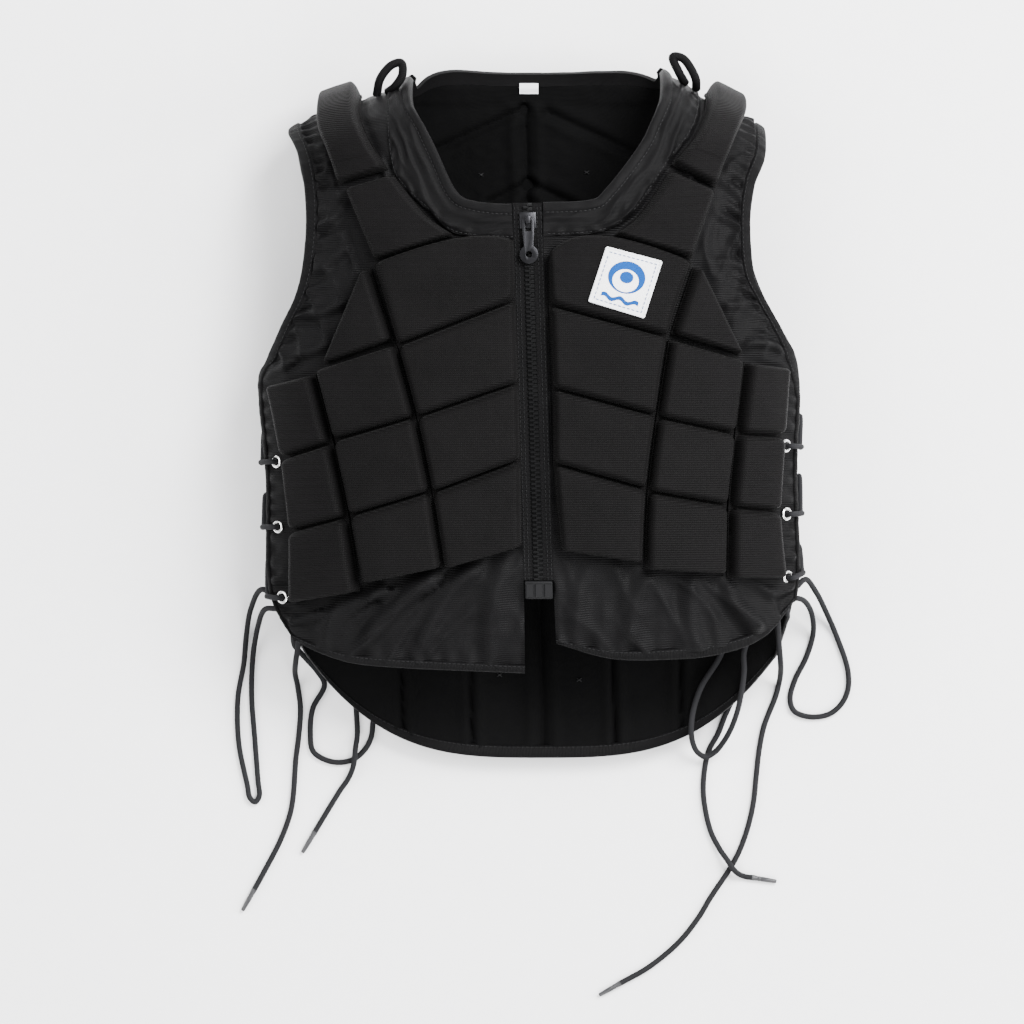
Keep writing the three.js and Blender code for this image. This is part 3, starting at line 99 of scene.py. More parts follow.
# The lacing: how far it stands off the cloth at an eyelet, over its edge and past it, and its pulled width
LACE_STAND = 6
LACE_OVER = 4.4
LACE_ROUND = 3.4
LACE_SQUEEZE = 0.96
# Height of the braid's ridges as a share of the cord's radius
BRAID_RIDGE = 0.045
STITCH_GAP = 1.1
THREAD_RADIUS = 0.32
# Levels of the bindings' outer and inner faces
TAPE_HIGH = 1.5
TAPE_LOW = -CLOTH - 1.5
# Rows at which the armholes' broad bindings start, and the row of a front panel's stated width
FRONT_ARMHOLE_ROW = 4
BACK_ARMHOLE_ROW = 5
FRONT_MID_ROW = 2
# Gathers along the armholes and hems
GATHER_PITCH = 13
GATHER_REACH = 16
HEM_GATHER_PITCH = 17
# The zip's tapes from the chain outwards, its teeth, and the ridge under them
ZIP_TAPE_STEPS = [3.7, 4.4, 5.8, 7.2, 8.6, 10.0, 11.4, 11.9, 12.3, 13.6]
ZIP_NECK_REACH = 2.2
ZIP_STITCH_LINES = [7.6, 10.6]
TOOTH_PITCH = 3.6
TOOTH_OUT = 1.55
TOOTH_SINK = 0.4

# Crown of the chest: place up the length, height as a share of the peak
CROWN = [(0.1, 0.72), (0.25, 0.88), (0.4, 0.97), (0.58, 1), (0.75, 0.97), (0.95, 0.86)]
# Where the cloth turns over the shoulders: share out, share up
FOLD_LINE = [
    (-0.901, 0.908), (-0.774, 0.936), (-0.628, 0.956), (-0.482, 0.974), (-0.38, 1.008), (-0.25, 1.021),
    (0, 1.022), (0.25, 1.021), (0.42, 1.01), (0.54, 0.977), (0.759, 0.934), (0.905, 0.896),
]
# Where the back panel starts: share out, and 0 at the shoulder seams to 1 behind the neck band
BACK_START = [(-0.52, 0), (-0.4, 1), (0.42, 1), (0.55, 0)]
# The zip's centre line: share out, share up
ZIP_LINE = [(0.0255, 0.236), (-0.016, 0.784)]

# Rows of the front panels from hem to shoulder: near x and y, far x and y; a row with None starts at the zip
FRONT_ROWS = {
    "right": [
        (-0.026, 0.128, -0.872, 0.177), (None, 0.236, -0.962, 0.252), (None, 0.42, -0.971, 0.406),
        (None, 0.593, -1, 0.542), (None, 0.679, -0.971, 0.578), (None, 0.75, -0.916, 0.627),
        (-0.277, 0.758, -0.865, 0.669), (-0.369, 0.788, -0.836, 0.717), (-0.471, 0.826, -0.825, 0.79),
        (-0.511, 0.859, -0.848, 0.863), (-0.526, 0.917, -0.89, 0.902),
    ],
    "left": [
        (0.088, 0.171, 0.967, 0.236), (None, 0.236, 0.978, 0.291), (None, 0.42, 0.967, 0.42),
        (None, 0.593, 0.978, 0.521), (None, 0.679, 0.967, 0.578), (None, 0.754, 0.92, 0.617),
        (0.248, 0.76, 0.854, 0.663), (0.369, 0.788, 0.81, 0.701), (0.493, 0.859, 0.796, 0.774),
        (0.569, 0.898, 0.812, 0.827), (0.606, 0.935, 0.853, 0.873),
    ],
}
# How far each hem sags, from the zip to the side
HEM_DROP = {
    "right": [(0, 0), (0.17, 0.006), (0.55, 0.019), (0.75, 0.022), (0.9, 0.013), (1, 0)],
    "left": [(0, 0), (0.22, 0.036), (0.45, 0.053), (0.68, 0.06), (0.87, 0.046), (1, 0)],
}
# The neck band's free edge
NECK_FREE = {
    "right": [
        (-0.074, 0.8), (-0.201, 0.804), (-0.274, 0.819), (-0.35, 0.881), (-0.416, 0.929), (-0.442, 0.955),
    ],
    "left": [(0.04, 0.803), (0.204, 0.806), (0.266, 0.822), (0.398, 0.891), (0.456, 0.94), (0.474, 0.968)],
}
# The back panel: share up, right and left edges, sag at mid width
BACK_ROWS = [
    (0.154, -0.83, 0.9, 0.15), (0.23, -0.93, 0.955, 0.07), (0.32, -0.955, 0.965, 0), (0.45, -0.965, 0.965, 0),
    (0.56, -0.965, 0.965, 0), (0.63, -0.9, 0.9, 0), (0.71, -0.835, 0.815, 0), (0.79, -0.82, 0.795, 0),
    (0.855, -0.85, 0.83, 0),
]
BACK_HEM_POWER = 3.2
BACK_LINES = [-0.52, -0.46, -0.4, -0.2, 0, 0.2, 0.42, 0.485, 0.55]
HEM_ROW = 0.18
# Rows of the hem binding's lower edge, stitches and upper edge
HEM_ROWS = [0, HEM_ROW * 0.86, HEM_ROW]

# Pads, line by line: near x and y, far x and y, then False if it is no seam, or a middle x and y if it bends
PADS = {
    "right": {
        "pad_column_1": [
            (-0.066, 0.748, -0.573, 0.714, (-0.27, 0.751)), (-0.058, 0.662, -0.485, 0.597),
            (-0.047, 0.545, -0.416, 0.495), (-0.04, 0.435, -0.361, 0.388), (-0.036, 0.312, -0.318, 0.279),
        ],
        "pad_column_2": [
            (-0.49, 0.599, -0.774, 0.563), (-0.421, 0.496, -0.712, 0.462), (-0.366, 0.39, -0.657, 0.355),
            (-0.323, 0.282, -0.613, 0.258),
        ],
        "pad_column_3": [
            (-0.782, 0.557, -0.94, 0.541), (-0.718, 0.459, -0.894, 0.436), (-0.664, 0.354, -0.869, 0.332),
            (-0.625, 0.247, -0.872, 0.229),
        ],
        "armpit_pad": [(-0.585, 0.708, -0.615, 0.705), (-0.5, 0.606, -0.75, 0.571)],
        "chest_pad": [
            (-0.5, 0.842, -0.675, 0.822), (-0.385, 0.785, -0.62, 0.768, False),
            (-0.282, 0.755, -0.569, 0.719),
        ],
        "shoulder_pad": [
            (-0.522, 0.85, -0.701, 0.829), (-0.58, 0.886, -0.737, 0.873, False),
            (-0.62, 0.924, -0.77, 0.905, False),
        ],
    },
    "left": {
        "pad_column_1": [
            (0.062, 0.728, 0.577, 0.717, (0.241, 0.755)), (0.062, 0.655, 0.489, 0.61),
            (0.073, 0.537, 0.445, 0.498), (0.077, 0.43, 0.412, 0.393), (0.102, 0.306, 0.401, 0.288),
        ],
        "pad_column_2": [
            (0.494, 0.607, 0.757, 0.577), (0.45, 0.496, 0.728, 0.472), (0.418, 0.39, 0.703, 0.37),
            (0.407, 0.279, 0.7, 0.272),
        ],
        "pad_column_3": [
            (0.764, 0.574, 0.915, 0.567), (0.734, 0.472, 0.9, 0.468), (0.71, 0.368, 0.887, 0.361),
            (0.707, 0.266, 0.907, 0.265),
        ],
        "armpit_pad": [(0.582, 0.71, 0.61, 0.708), (0.502, 0.615, 0.757, 0.584)],
        "chest_pad": [
            (0.497, 0.848, 0.661, 0.818), (0.388, 0.785, 0.617, 0.768, False), (0.3, 0.756, 0.577, 0.722),
        ],
        "shoulder_pad": [
            (0.505, 0.857, 0.664, 0.824), (0.59, 0.898, 0.719, 0.881, False),
            (0.628, 0.938, 0.763, 0.918, False),
        ],
    },
}
SHOULDER_PAD_PAST = 0.7
PAD_CORNER = 6.5
PAD_POWER = 2.1
SEAM_HALF = 0.9
PAD_BED = 1.6
# Pitch of the small pulls of the seams in the pads' cloth
PULL_PITCH = 6.5
BACK_CENTRE_SEAMS = [(0.145, 0), (0.34, 0.015), (0.52, 0.03), (0.68, 0.045), (0.834, 0.05), (0.93, 0.05)]
BACK_SIDE_SEAMS = [(0.215, 0.8), (0.36, 0.86), (0.52, 0.86), (0.66, 0.72), (0.82, 0.7)]
BACK_CENTRE_HALF = 0.245
# Quilting lines of the lining, in millimetres: place from the zip's line, half width and reach up
LINING_LINES = [(-112, 1.8, 90), (-57, 1.8, 90), (0, 3, 400), (58, 1.8, 90), (112, 1.8, 90)]
# Slanting lines of the lining behind the neck: from x and y, to x and y
LINING_SLANTS = [(-5.6, 246, -82, 211), (12.8, 243, 86, 209), (-2.4, 186, -34, 171), (-2.4, 186, 36, 168)]
LINING_DEPTH = 3.4
SLANT_DEPTH = 3.2
FACING_EDGE = 250
FACING_SEAMS = [266, 270]
# Tacks of thread in the lining: x and y in millimetres
LINING_TACKS = [(-26, -209), (38, -213), (-41, 193), (44, 195)]

# Folds of the loose cloth: from x and y, to x and y, height in millimetres, half width as a share
FOLDS = {
    "right": [
        (-0.34, 0.272, -0.62, 0.168, 4.5, 0.035), (-0.2, 0.285, -0.42, 0.16, 3.5, 0.03),
        (-0.5, 0.25, -0.8, 0.187, 3, 0.028), (-0.1, 0.29, -0.16, 0.15, 2, 0.03),
        (-0.7, 0.215, -0.88, 0.2, 2.5, 0.02), (-0.86, 0.7, -0.66, 0.74, 2.6, 0.018),
        (-0.83, 0.76, -0.67, 0.8, 2.2, 0.016), (-0.86, 0.64, -0.68, 0.66, 2.6, 0.018),
        (-0.93, 0.585, -0.74, 0.6, 2.4, 0.02), (-0.97, 0.56, -0.86, 0.578, 2, 0.015),
        (-0.85, 0.83, -0.74, 0.85, 2, 0.014), (-0.86, 0.88, -0.77, 0.88, 1.6, 0.014),
        (-0.55, 0.87, -0.48, 0.8, 1.8, 0.014), (-0.53, 0.83, -0.42, 0.79, 1.8, 0.014),
    ],
    "left": [
        (0.7, 0.26, 0.83, 0.19, 4.5, 0.03), (0.42, 0.27, 0.36, 0.18, 3, 0.035),
        (0.58, 0.262, 0.6, 0.16, 3.2, 0.03), (0.2, 0.28, 0.16, 0.17, 2, 0.03),
        (0.86, 0.245, 0.95, 0.25, 2.4, 0.02), (0.81, 0.7, 0.66, 0.72, 2.4, 0.018),
        (0.79, 0.75, 0.68, 0.785, 2.2, 0.016), (0.83, 0.655, 0.7, 0.655, 2.4, 0.018),
        (0.9, 0.6, 0.77, 0.6, 2.4, 0.018), (0.8, 0.81, 0.7, 0.83, 2, 0.014),
        (0.83, 0.87, 0.77, 0.87, 1.6, 0.014), (0.5, 0.8, 0.6, 0.86, 2, 0.016),
        (0.34, 0.765, 0.46, 0.79, 2.6, 0.014),
    ],
}
# The chest patch: corners in shares, level over the cloth, thickness and inset of its stitches
PATCH_CORNERS = [(0.266, 0.735), (0.456, 0.715), (0.394, 0.637), (0.204, 0.66)]
PATCH_SEAT = PAD_GAP + PAD_HEIGHT + 0.9
PATCH_THICKNESS = 0.7
PATCH_INSET = 0.065
# The neck tag: share out, and its low and high ends in shares up
TAG_PLACE = (-0.011, 0.966, 0.982)
TAG_WIDTH = 15
# Eyelets: row on the front, row on the back
EYELETS = {"right": [(2.17, 3.2), (1.58, 2.5), (0.88, 1.7)], "left": [(2.3, 3.4), (1.54, 2.7), (0.78, 1.9)]}
# The lacing's knots: centres in millimetres
KNOTS = {"right": (-188, -158, 52), "left": (196, -148, 54)}
KNOT_TOP = 9
KNOT_RADIUS = 5.2
# Turned section of an eyelet: radius and height over the cloth
EYELET_PROFILE = np.array([
    (3.0, -1.6), (3.0, 0.6), (3.25, 1.15), (3.8, 1.45), (4.6, 1.3), (5.2, 0.85), (5.5, 0.2), (5.45, -0.15),
    (4.6, -0.2), (3.9, -0.3), (3.8, -1.6),
])
# Section of a cord's tip: place along it and radius
TIP_PROFILE = [
    (-1.2, 1.9), (-1.2, 2.3), (0.6, 2.35), (1.2, 2.1), (2.6, 2.1), (3.1, 1.85), (3.6, 1.85), (4.1, 2.1),
    (5.2, 2.08), (5.7, 1.82), (6.2, 1.82), (6.7, 2.05), (12, 1.85), (17, 1.62), (18.2, 1.5), (18.7, 1.2),
    (18.8, 0.6),
]
# Hanging loops: radius, then x, place forward and rise in millimetres
HANG_LOOP_RADIUS = 3.5
HANG_LOOPS = {
    "right": [
        (-124, 0, 0), (-121, 12, 7), (-112, 20, 9), (-104, 18, 10), (-103, 8, 11), (-109, 2, 8), (-115, 0, 0),
    ],
    "left": [(122, 3.6, 0), (117, 9, 9), (112, 18, 9), (120, 22, 8), (130, 12, 9), (131, 3.6, 0)],
}

# Routes of the free cords from each knot, in millimetres: x, y and, where it is off the floor, height
FREE_CORDS = {
    "right_cord_side_loop": [
        (-193.4, -151.5, 52.7), (-206, -146, 52), (-216, -140, 46), (-226, -156, 18), (-230, -178, 3),
        (-232, -200), (-236.8, -228.4), (-236, -264.4), (-229, -299), (-227.2, -308), (-223, -311.6),
        (-219.6, -307), (-220.6, -294), (-223.2, -260), (-225.6, -228.4), (-224.8, -196.4),
        (-220.8, -172, 14), (-214, -156, 40), (-206, -155.5, 49), (-197, -156.8, 54),
    ],
    "right_cord_long_end": [
        (-186.5, -166.2, 53.5), (-187.5, -184, 45), (-189.5, -197, 34), (-190.5, -208, 12), (-188.5, -219),
        (-186.4, -236.4), (-188, -260.4), (-190, -276.4), (-193.6, -316.4), (-201.6, -340.4), (-216, -368.4),
        (-224, -382.8),
    ],
    "right_cord_hem_loop": [
        (-190.9, -165.1, 48.4), (-191.5, -176, 43), (-191, -184, 30), (-188, -189, 14), (-181, -197, 4),
        (-173, -206), (-167, -217), (-176.5, -236.4), (-178.4, -256.4), (-176, -271), (-161.6, -279),
        (-145.6, -278), (-135, -270), (-129.6, -260), (-128, -248), (-126.5, -234), (-134, -212),
        (-150, -191), (-170, -176, 4), (-184, -168, 9), (-196, -163, 20), (-200, -161, 34),
        (-198, -160.5, 45), (-195.2, -160.6, 48.4),
    ],
    "right_cord_short_end": [
        (-195.6, -163.8, 54), (-194.5, -168.5, 48), (-193, -173, 34), (-190, -176.5, 18), (-183, -183, 5),
        (-168, -194), (-151, -212), (-142.5, -231), (-141, -246), (-140.6, -258, 3), (-142, -268, 7),
        (-143.6, -282, 7.4), (-148, -293, 3), (-153.6, -301), (-165.6, -320.4), (-175.2, -336.4),
    ],
    "left_cord_side_loop": [
        (203.5, -144.5, 54), (212, -138, 51), (219, -132, 46), (228, -142, 30), (237, -159, 10), (245, -177),
        (254.4, -205), (254.6, -221), (249, -233), (238.4, -241.2), (222.4, -242.8), (211, -238),
        (208, -228.4), (212, -213), (221, -195), (226.4, -176.4, 5), (225, -160, 20), (218, -149, 40),
        (211, -147, 49), (204.5, -147.5, 52.5),
    ],
    "left_cord_long_end": [
        (196.3, -156, 51.5), (197.5, -172, 45.5), (198.4, -186, 43.5), (199.5, -198, 38), (200, -207, 20),
        (199, -216, 4), (196.5, -226), (187.2, -250), (183.2, -269.2), (180.8, -290), (178.4, -312.4),
        (173.6, -333.2), (167.2, -350.8), (160, -364.4), (144, -388.4), (134.4, -404.4), (118.4, -424.4),
        (94.4, -444.4), (70.4, -458),
    ],
    "left_cord_hem_loop": [
        (187.8, -148.5, 53), (172, -160, 45), (158, -178, 34), (150.4, -195.6, 28), (136, -218.8, 25.5),
        (129.6, -238, 25.5), (128, -252, 26), (129.5, -264, 20), (134, -272, 11), (140, -275, 8),
        (147.5, -271, 9), (154, -263, 16), (160, -252, 25), (165, -238, 31), (168.6, -221, 33.5),
        (170.4, -205, 34), (170.4, -190, 36), (178, -172, 43), (185, -161, 48.5), (190.6, -153, 51.2),
    ],
    "left_cord_short_end": [
        (203, -151, 50.5), (204.5, -158, 43), (205, -163, 31), (201, -169, 17), (194, -179, 6), (182, -196),
        (168, -217), (156, -241.2), (150, -256.4), (142.6, -270), (138.6, -290), (138.4, -308), (143.6, -334),
        (151, -349, 3.5), (157.5, -358.5, 7.2), (164, -367.5, 7), (171, -371.4), (178.5, -372.6),
    ],
}


def up(share):
    """Millimetres up the vest from its middle, from a share of its length."""
    return (share - 0.5) * BODY_LENGTH


def out(share):
    """Millimetres out from the middle, from a share of the half width."""
    return share * HALF_WIDTH


def table(rows, at):
    """Cubic pieces through the rows' values, with slopes from each row's neighbours and level ends."""
    keys, values = np.array(rows, float).T
    at = np.clip(at, keys[0], keys[-1])
    i = np.clip(np.searchsorted(keys, at) - 1, 0, len(keys) - 2)
    low = np.r_[0, np.arange(len(keys) - 1)]
    high = np.r_[np.arange(1, len(keys)), len(keys) - 1]
    slope = (values[high] - values[low]) / (keys[high] - keys[low])
    span = keys[i + 1] - keys[i]
    t = (at - keys[i]) / span
    return (
        values[i] * (1 + 2 * t) * (1 - t) ** 2
        + slope[i] * span * t * (1 - t) ** 2
        + values[i + 1] * t * t * (3 - 2 * t)
        + slope[i + 1] * span * t * t * (t - 1)
    )


def fold_y(x):
    """How far up the vest the cloth turns over at an x."""
    return up(table(FOLD_LINE, x / HALF_WIDTH))


def cloth(x, s):
    """Front: height is a crowned dome, 40 + (crown - 40) * (1 - |x|^2.6)^0.5. Past the curl's start the
    cloth follows a quarter ellipse down to the shoulder height, then a second one down to the back."""
    x, s = both(x, s)
    top = fold_y(x)
    start = top - FRONT_CURL
    flat = np.minimum(s, start)
    crown = FRONT_PEAK * table(CROWN, flat / BODY_LENGTH + 0.5)
    t = np.minimum(1, np.abs(x) / out(FRONT_REACH))
    dome = FRONT_EDGE_DATUM + (crown - FRONT_EDGE_DATUM) * np.sqrt(1 - t**FRONT_ROUNDNESS)
    turned = np.clip((s - start) / FRONT_CURL_LENGTH, 0, 1) * np.pi / 2
    past = s - start - FRONT_CURL_LENGTH
    side = np.maximum(0, np.abs(x) - BACK_FLAT_HALF) / (HALF_WIDTH - BACK_FLAT_HALF)
    low = PAD_GAP + PAD_HEIGHT + BACK_SIDE_RISE * side**2
    angle = np.clip(past / BACK_CURL_LENGTH, 0, 1) * np.pi / 2
    back_y = top - BACK_CURL * (1 - np.cos(angle)) - np.maximum(0, past - BACK_CURL_LENGTH)
    back_z = low + (SHOULDER_HEIGHT - low) * (1 - np.sin(angle))
    y = np.where(past > 0, back_y, flat + FRONT_CURL * np.sin(turned))
    z = np.where(past > 0, back_z, SHOULDER_HEIGHT + (dome - SHOULDER_HEIGHT) * np.cos(turned))
    return np.stack([x, y, z], -1)


def unit(vectors):
    """Vectors scaled to a length of one."""
    return vectors / np.linalg.norm(vectors, axis=-1, keepdims=True)


def outward(x, s):
    """Unit normal of the cloth, from differences of a millimetre each way."""
    return unit(np.cross(cloth(x + 1, s) - cloth(x - 1, s), cloth(x, s + 1) - cloth(x, s - 1)))


def lifted(x, s, level):
    """Points at a height above the outer face of the cloth."""
    return cloth(x, s) + outward(x, s) * np.asarray(level, float)[..., None]


def on_front(x, y):
    """The place along the cloth of a spot seen from above on the front."""
    start = fold_y(x) - FRONT_CURL
    turned = np.arcsin(np.clip((y - start) / FRONT_CURL, 0, 1))
    return np.where(y <= start, y, start + FRONT_CURL_LENGTH * turned / (np.pi / 2))


def over_fold(x, past):
    """The place along the cloth that lies a distance past the fold of the shoulders."""
    return fold_y(x) - FRONT_CURL + FRONT_CURL_LENGTH + past


def on_back(x, y):
    """The place along the cloth of a spot seen from above on the back."""
    below = fold_y(x) - y
    turned = np.arccos(np.clip(1 - below / BACK_CURL, 0, 1))
    bent = BACK_CURL_LENGTH * turned / (np.pi / 2)
    past = np.where(below >= BACK_CURL, BACK_CURL_LENGTH + below - BACK_CURL, bent)
    return over_fold(x, past)


def back_start(x):
    """How far past the fold the back panel starts: by the shoulder seams or behind the neck band."""
    reach = NECK_EDGE_PAST + NECK_EDGE_WIDTH - SHOULDER_SEAM_PAST
    return SHOULDER_SEAM_PAST + reach * table(BACK_START, x / HALF_WIDTH)


def zip_x(y):
    """The x of the zip's straight line at a y."""
    (x0, y0), (x1, y1) = ZIP_LINE
    return out(x0 + (x1 - x0) * (y / BODY_LENGTH + 0.5 - y0) / (y1 - y0))


def along(points, v, corner=None):
    """Smooth curve through rows of points at fractional row v, with a sharp corner at one row if asked."""
    points = np.asarray(points, float)
    last = len(points) - 1
    v = np.clip(v, 0, last)
    i = np.clip(np.floor(v).astype(int), 0, last - 1)
    before = np.maximum(i - 1, 0)
    after = np.minimum(i + 2, last)
    if corner is not None:
        before = np.where(i >= corner, np.maximum(before, corner), before)
        after = np.where(i < corner, np.minimum(after, corner), after)
    t = (v - i)[..., None]
    a, b, c, d = points[before], points[i], points[i + 1], points[after]
    return b + 0.5 * t * (c - a + t * (2 * a - 5 * b + 4 * c - d + t * (3 * (b - c) + d - a)))


def front_place(x, y):
    """The x and place along the cloth of a spot on the front given in shares."""
    return np.array([out(x), float(on_front(out(x), up(y)))])


def both(u, v):
    """Two parameters as arrays of floats of one shape."""
    return np.broadcast_arrays(np.asarray(u, float), np.asarray(v, float))


def run_along(path):
    """Distance run from a path's start to each of its points."""
    return np.r_[0, np.cumsum(np.linalg.norm(np.diff(path, axis=0), axis=1))]


def front_lines(side):
    """The near and far ends of a front panel's rows, with two more over the shoulder."""
    sign = -1 if side == "right" else 1
    near, far = [], []
    for near_x, near_y, far_x, far_y in FRONT_ROWS[side]:
        y = up(near_y)
        x = zip_x(y) + sign * ZIP_TAPE_HALF if near_x is None else out(near_x)
        near.append((x, float(on_front(x, y))))
        far.append(front_place(far_x, far_y))
    for past in (0, SHOULDER_SEAM_PAST):
        for line in (near, far):
            x = line[-1][0]
            line.append((x, float(over_fold(x, past))))
    return np.array(near), np.array(far)


LINES = {side: front_lines(side) for side in FRONT_ROWS}
FRONT_TOP = len(FRONT_ROWS["right"]) + 1
BACK_TOP = len(BACK_ROWS) - 1
SHIFT = np.array([
    sum(corner[0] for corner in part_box("neck_tag")) / 2 / MM - out(TAG_PLACE[0]),
    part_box("back_centre_pads")[0][1] / MM - up(BACK_CENTRE_SEAMS[0][0]),
    0,
])


def front_spot(side, u, v):
    """A spot on a front panel: u from the zip or neck to the side, v in rows up from the hem."""
    near, far = LINES[side]
    u, v = both(u, v)
    a = along(near, v, NECK_ROW)
    b = along(far, v)
    spot = a + (b - a) * u[..., None]
    drop = BODY_LENGTH * table(HEM_DROP[side], u) * np.maximum(0, 1 - v)
    return spot[..., 0], spot[..., 1] - drop


def front_length(side, v):
    """Width of a front panel along its row v."""
    near, far = LINES[side]
    return np.linalg.norm(along(far, v) - along(near, v, NECK_ROW), axis=-1)


def binding_width(v, armhole_row):
    """Width of the side's binding: piping at the laces, growing to the armhole's width over one row."""
    return PIPING_WIDTH + (BINDING_WIDTH - PIPING_WIDTH) * np.clip(v - armhole_row + 1, 0, 1)


def back_spot(u, v):
    """A spot on the back panel: u from the wearer's right to left, v in rows up from the hem."""
    u, v = both(u, v)
    rows = along(BACK_ROWS, np.minimum(v, BACK_TOP))
    climb = np.clip(v - BACK_TOP, 0, 1)
    ends = [LINES[side][1][-1][0] for side in ("right", "left")]
    left = out(rows[..., 1]) * (1 - climb) + ends[0] * climb
    right = out(rows[..., 2]) * (1 - climb) + ends[1] * climb
    x = left + (right - left) * u
    bulge = 1 - np.abs(2 * np.clip(u, 0, 1) - 1) ** BACK_HEM_POWER
    low = on_back(x, up(rows[..., 0] - rows[..., 3] * bulge))
    return x, low + (over_fold(x, back_start(x) - TUCK) - low) * climb


def back_width(v):
    """Width of the back panel along its row v."""
    return back_spot(1, v)[0] - back_spot(0, v)[0]


def crumple(x, s, size, seed):
    """Soft unevenness between -1 and 1: nine waves of about one size in seeded directions."""
    random = np.random.default_rng(seed)
    total = 0
    for _ in range(9):
        angle = random.uniform(0, 2 * np.pi)
        phase = random.uniform(0, 2 * np.pi)
        wave = 2 * np.pi / (size * random.uniform(0.7, 1.6))
        total = total + np.sin(wave * (x * np.cos(angle) + s * np.sin(angle)) + phase)
    return total / 4.5


def wrinkles(x, s, size, stretch, angle, seed):
    """Crests between 0 and 1 that run long in one direction: (1 - |w|)^2.2 of a crumple w whose coordinates
    are turned by the angle and shortened by the stretch along it."""
    turn = math.radians(angle)
    drift = 0.25 * size * crumple(x, s, 3 * size, seed + 50)
    run = (x * math.cos(turn) + s * math.sin(turn)) / stretch
    side = -x * math.sin(turn) + s * math.cos(turn) + drift
    return np.clip(1 - np.abs(crumple(run, side, size, seed)), 0, 1) ** 2.2


def two_scales(x, s, seed, coarse, fine):
    """Wrinkles with finer ones of a quarter their height over them, each given by size, stretch and angle."""
    return wrinkles(x, s, *coarse, seed) + 0.25 * wrinkles(x, s, *fine, seed + 4)


def bell(distance, half):
    """A bell: exp(-(distance / half)^2)."""
    return np.exp(-((distance / half) ** 2))


def to_line(x, s, a, b):
    """Distance of places from the straight line between a and b."""
    run = b - a
    t = np.clip(((x - a[0]) * run[0] + (s - a[1]) * run[1]) / (run @ run), 0, 1)
    return np.hypot(x - a[0] - t * run[0], s - a[1] - t * run[1])


def creases(side, x, s):
    """Height of the folds: the greatest of a set of ridges, each a bell across and easing out at its ends."""
    height = np.zeros_like(x)
    for from_x, from_y, to_x, to_y, tall, half in FOLDS[side]:
        a, b = front_place(from_x, from_y), front_place(to_x, to_y)
        run = b - a
        length = np.hypot(*run)
        t = ((x - a[0]) * run[0] + (s - a[1]) * run[1]) / length**2
        bow = 0.06 * length * np.sin(np.pi * np.clip(t, 0, 1))
        away = ((x - a[0]) * run[1] - (s - a[1]) * run[0]) / length - bow
        ends = np.clip(np.minimum(t + 0.25, 1.25 - t) / 0.35, 0, 1)
        width = out(half)
        ridge = tall * ends**2 * (bell(away, width) - 0.45 * bell(away - 1.6 * width, width))
        height = np.where(np.abs(ridge) > np.abs(height), ridge, height)
    return height


def grid_faces(tall, wide, start=0):
    """Quads of a grid of points numbered row by row."""
    index = start + np.arange(tall * wide).reshape(tall, wide)
    return np.stack([index[:-1, :-1], index[1:, :-1], index[1:, 1:], index[:-1, 1:]], -1).reshape(-1, 4)


def closed_sheet(outer, inner):
    """Points and faces of a sheet with two faces, given as grids of points, joined round the rim."""
    tall, wide = outer.shape[:2]
    count = tall * wide
    index = np.arange(count).reshape(tall, wide)
    rim = np.r_[index[0, :-1], index[:-1, -1], index[-1, :0:-1], index[:0:-1, 0]]
    after = np.roll(rim, -1)
    sides = np.stack([rim, after, after + count, rim + count], -1)
    faces = np.concatenate([grid_faces(tall, wide), grid_faces(tall, wide, count)[:, ::-1], sides])
    return np.concatenate([outer.reshape(-1, 3), inner.reshape(-1, 3)]), faces


def circle(sides):
    """Angles evenly round a full turn."""
    return np.linspace(0, 2 * np.pi, sides, endpoint=False)


def spokes(first, second, angle):
    """Unit vectors at the angles from a first vector towards a second one square to it."""
    return first[..., None, :] * np.cos(angle)[:, None] + second[..., None, :] * np.sin(angle)[:, None]


def walls(index):
    """Quads between rings of point numbers, each ring closed on itself."""
    after = np.roll(index, -1, axis=-1)
    corners = [index[..., :-1, :], after[..., :-1, :], after[..., 1:, :], index[..., 1:, :]]
    return np.stack(corners, -1).reshape(-1, 4).tolist()


def closed_rings(rings):
    """Points and faces of a closed body of rings of points, with a fan of triangles over each end."""
    count, sides = rings.shape[:2]
    index = np.arange(count * sides).reshape(count, sides)
    after = np.roll(index, -1, axis=1)
    hub = np.full(sides, count * sides)
    points = np.concatenate([rings.reshape(-1, 3), rings[0].mean(0)[None], rings[-1].mean(0)[None]])
    first, last = np.stack([hub, after[0], index[0]], -1), np.stack([hub + 1, index[-1], after[-1]], -1)
    return points, walls(index) + first.tolist() + last.tolist()


def ring_body(rings, round_it, along_it):
    """Points, faces and UVs of a closed body of rings, the UVs running round and along it."""
    uv = np.stack(np.broadcast_arrays(round_it, along_it), -1).reshape(-1, 2)
    return *closed_rings(rings), np.concatenate([uv, uv[:1], uv[-1:]])


def plain(points, faces):
    """A body with all its UVs at nought."""
    return points, faces.tolist(), np.zeros((len(points), 2))


def volume(points, faces):
    """Six times the signed volume of a closed body, from the triangles and quads among its faces."""
    total = 0
    for count in (3, 4):
        chosen = np.array([face for face in faces if len(face) == count])
        if not len(chosen):
            continue
        corner = points[chosen]
        for k in range(1, count - 1):
            total += np.einsum("ij,ij->i", corner[:, 0], np.cross(corner[:, k], corner[:, k + 1])).sum()
    return total


def placed(name, mesh, key, replaces, smooth_to, body="vest"):
    """A mesh as a piece of the scene: smooth up to an angle, with a look and a slot, riding on a body."""
    mesh.polygons.foreach_set("use_smooth", [True] * len(mesh.polygons))
    mesh.set_sharp_from_angle(angle=math.radians(smooth_to))
    mesh.materials.append(look(key))
    piece = bpy.data.objects.new(name, mesh)
    bpy.context.scene.collection.objects.link(piece)
    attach(piece, body)
    if replaces:
        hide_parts(*replaces)
    return piece


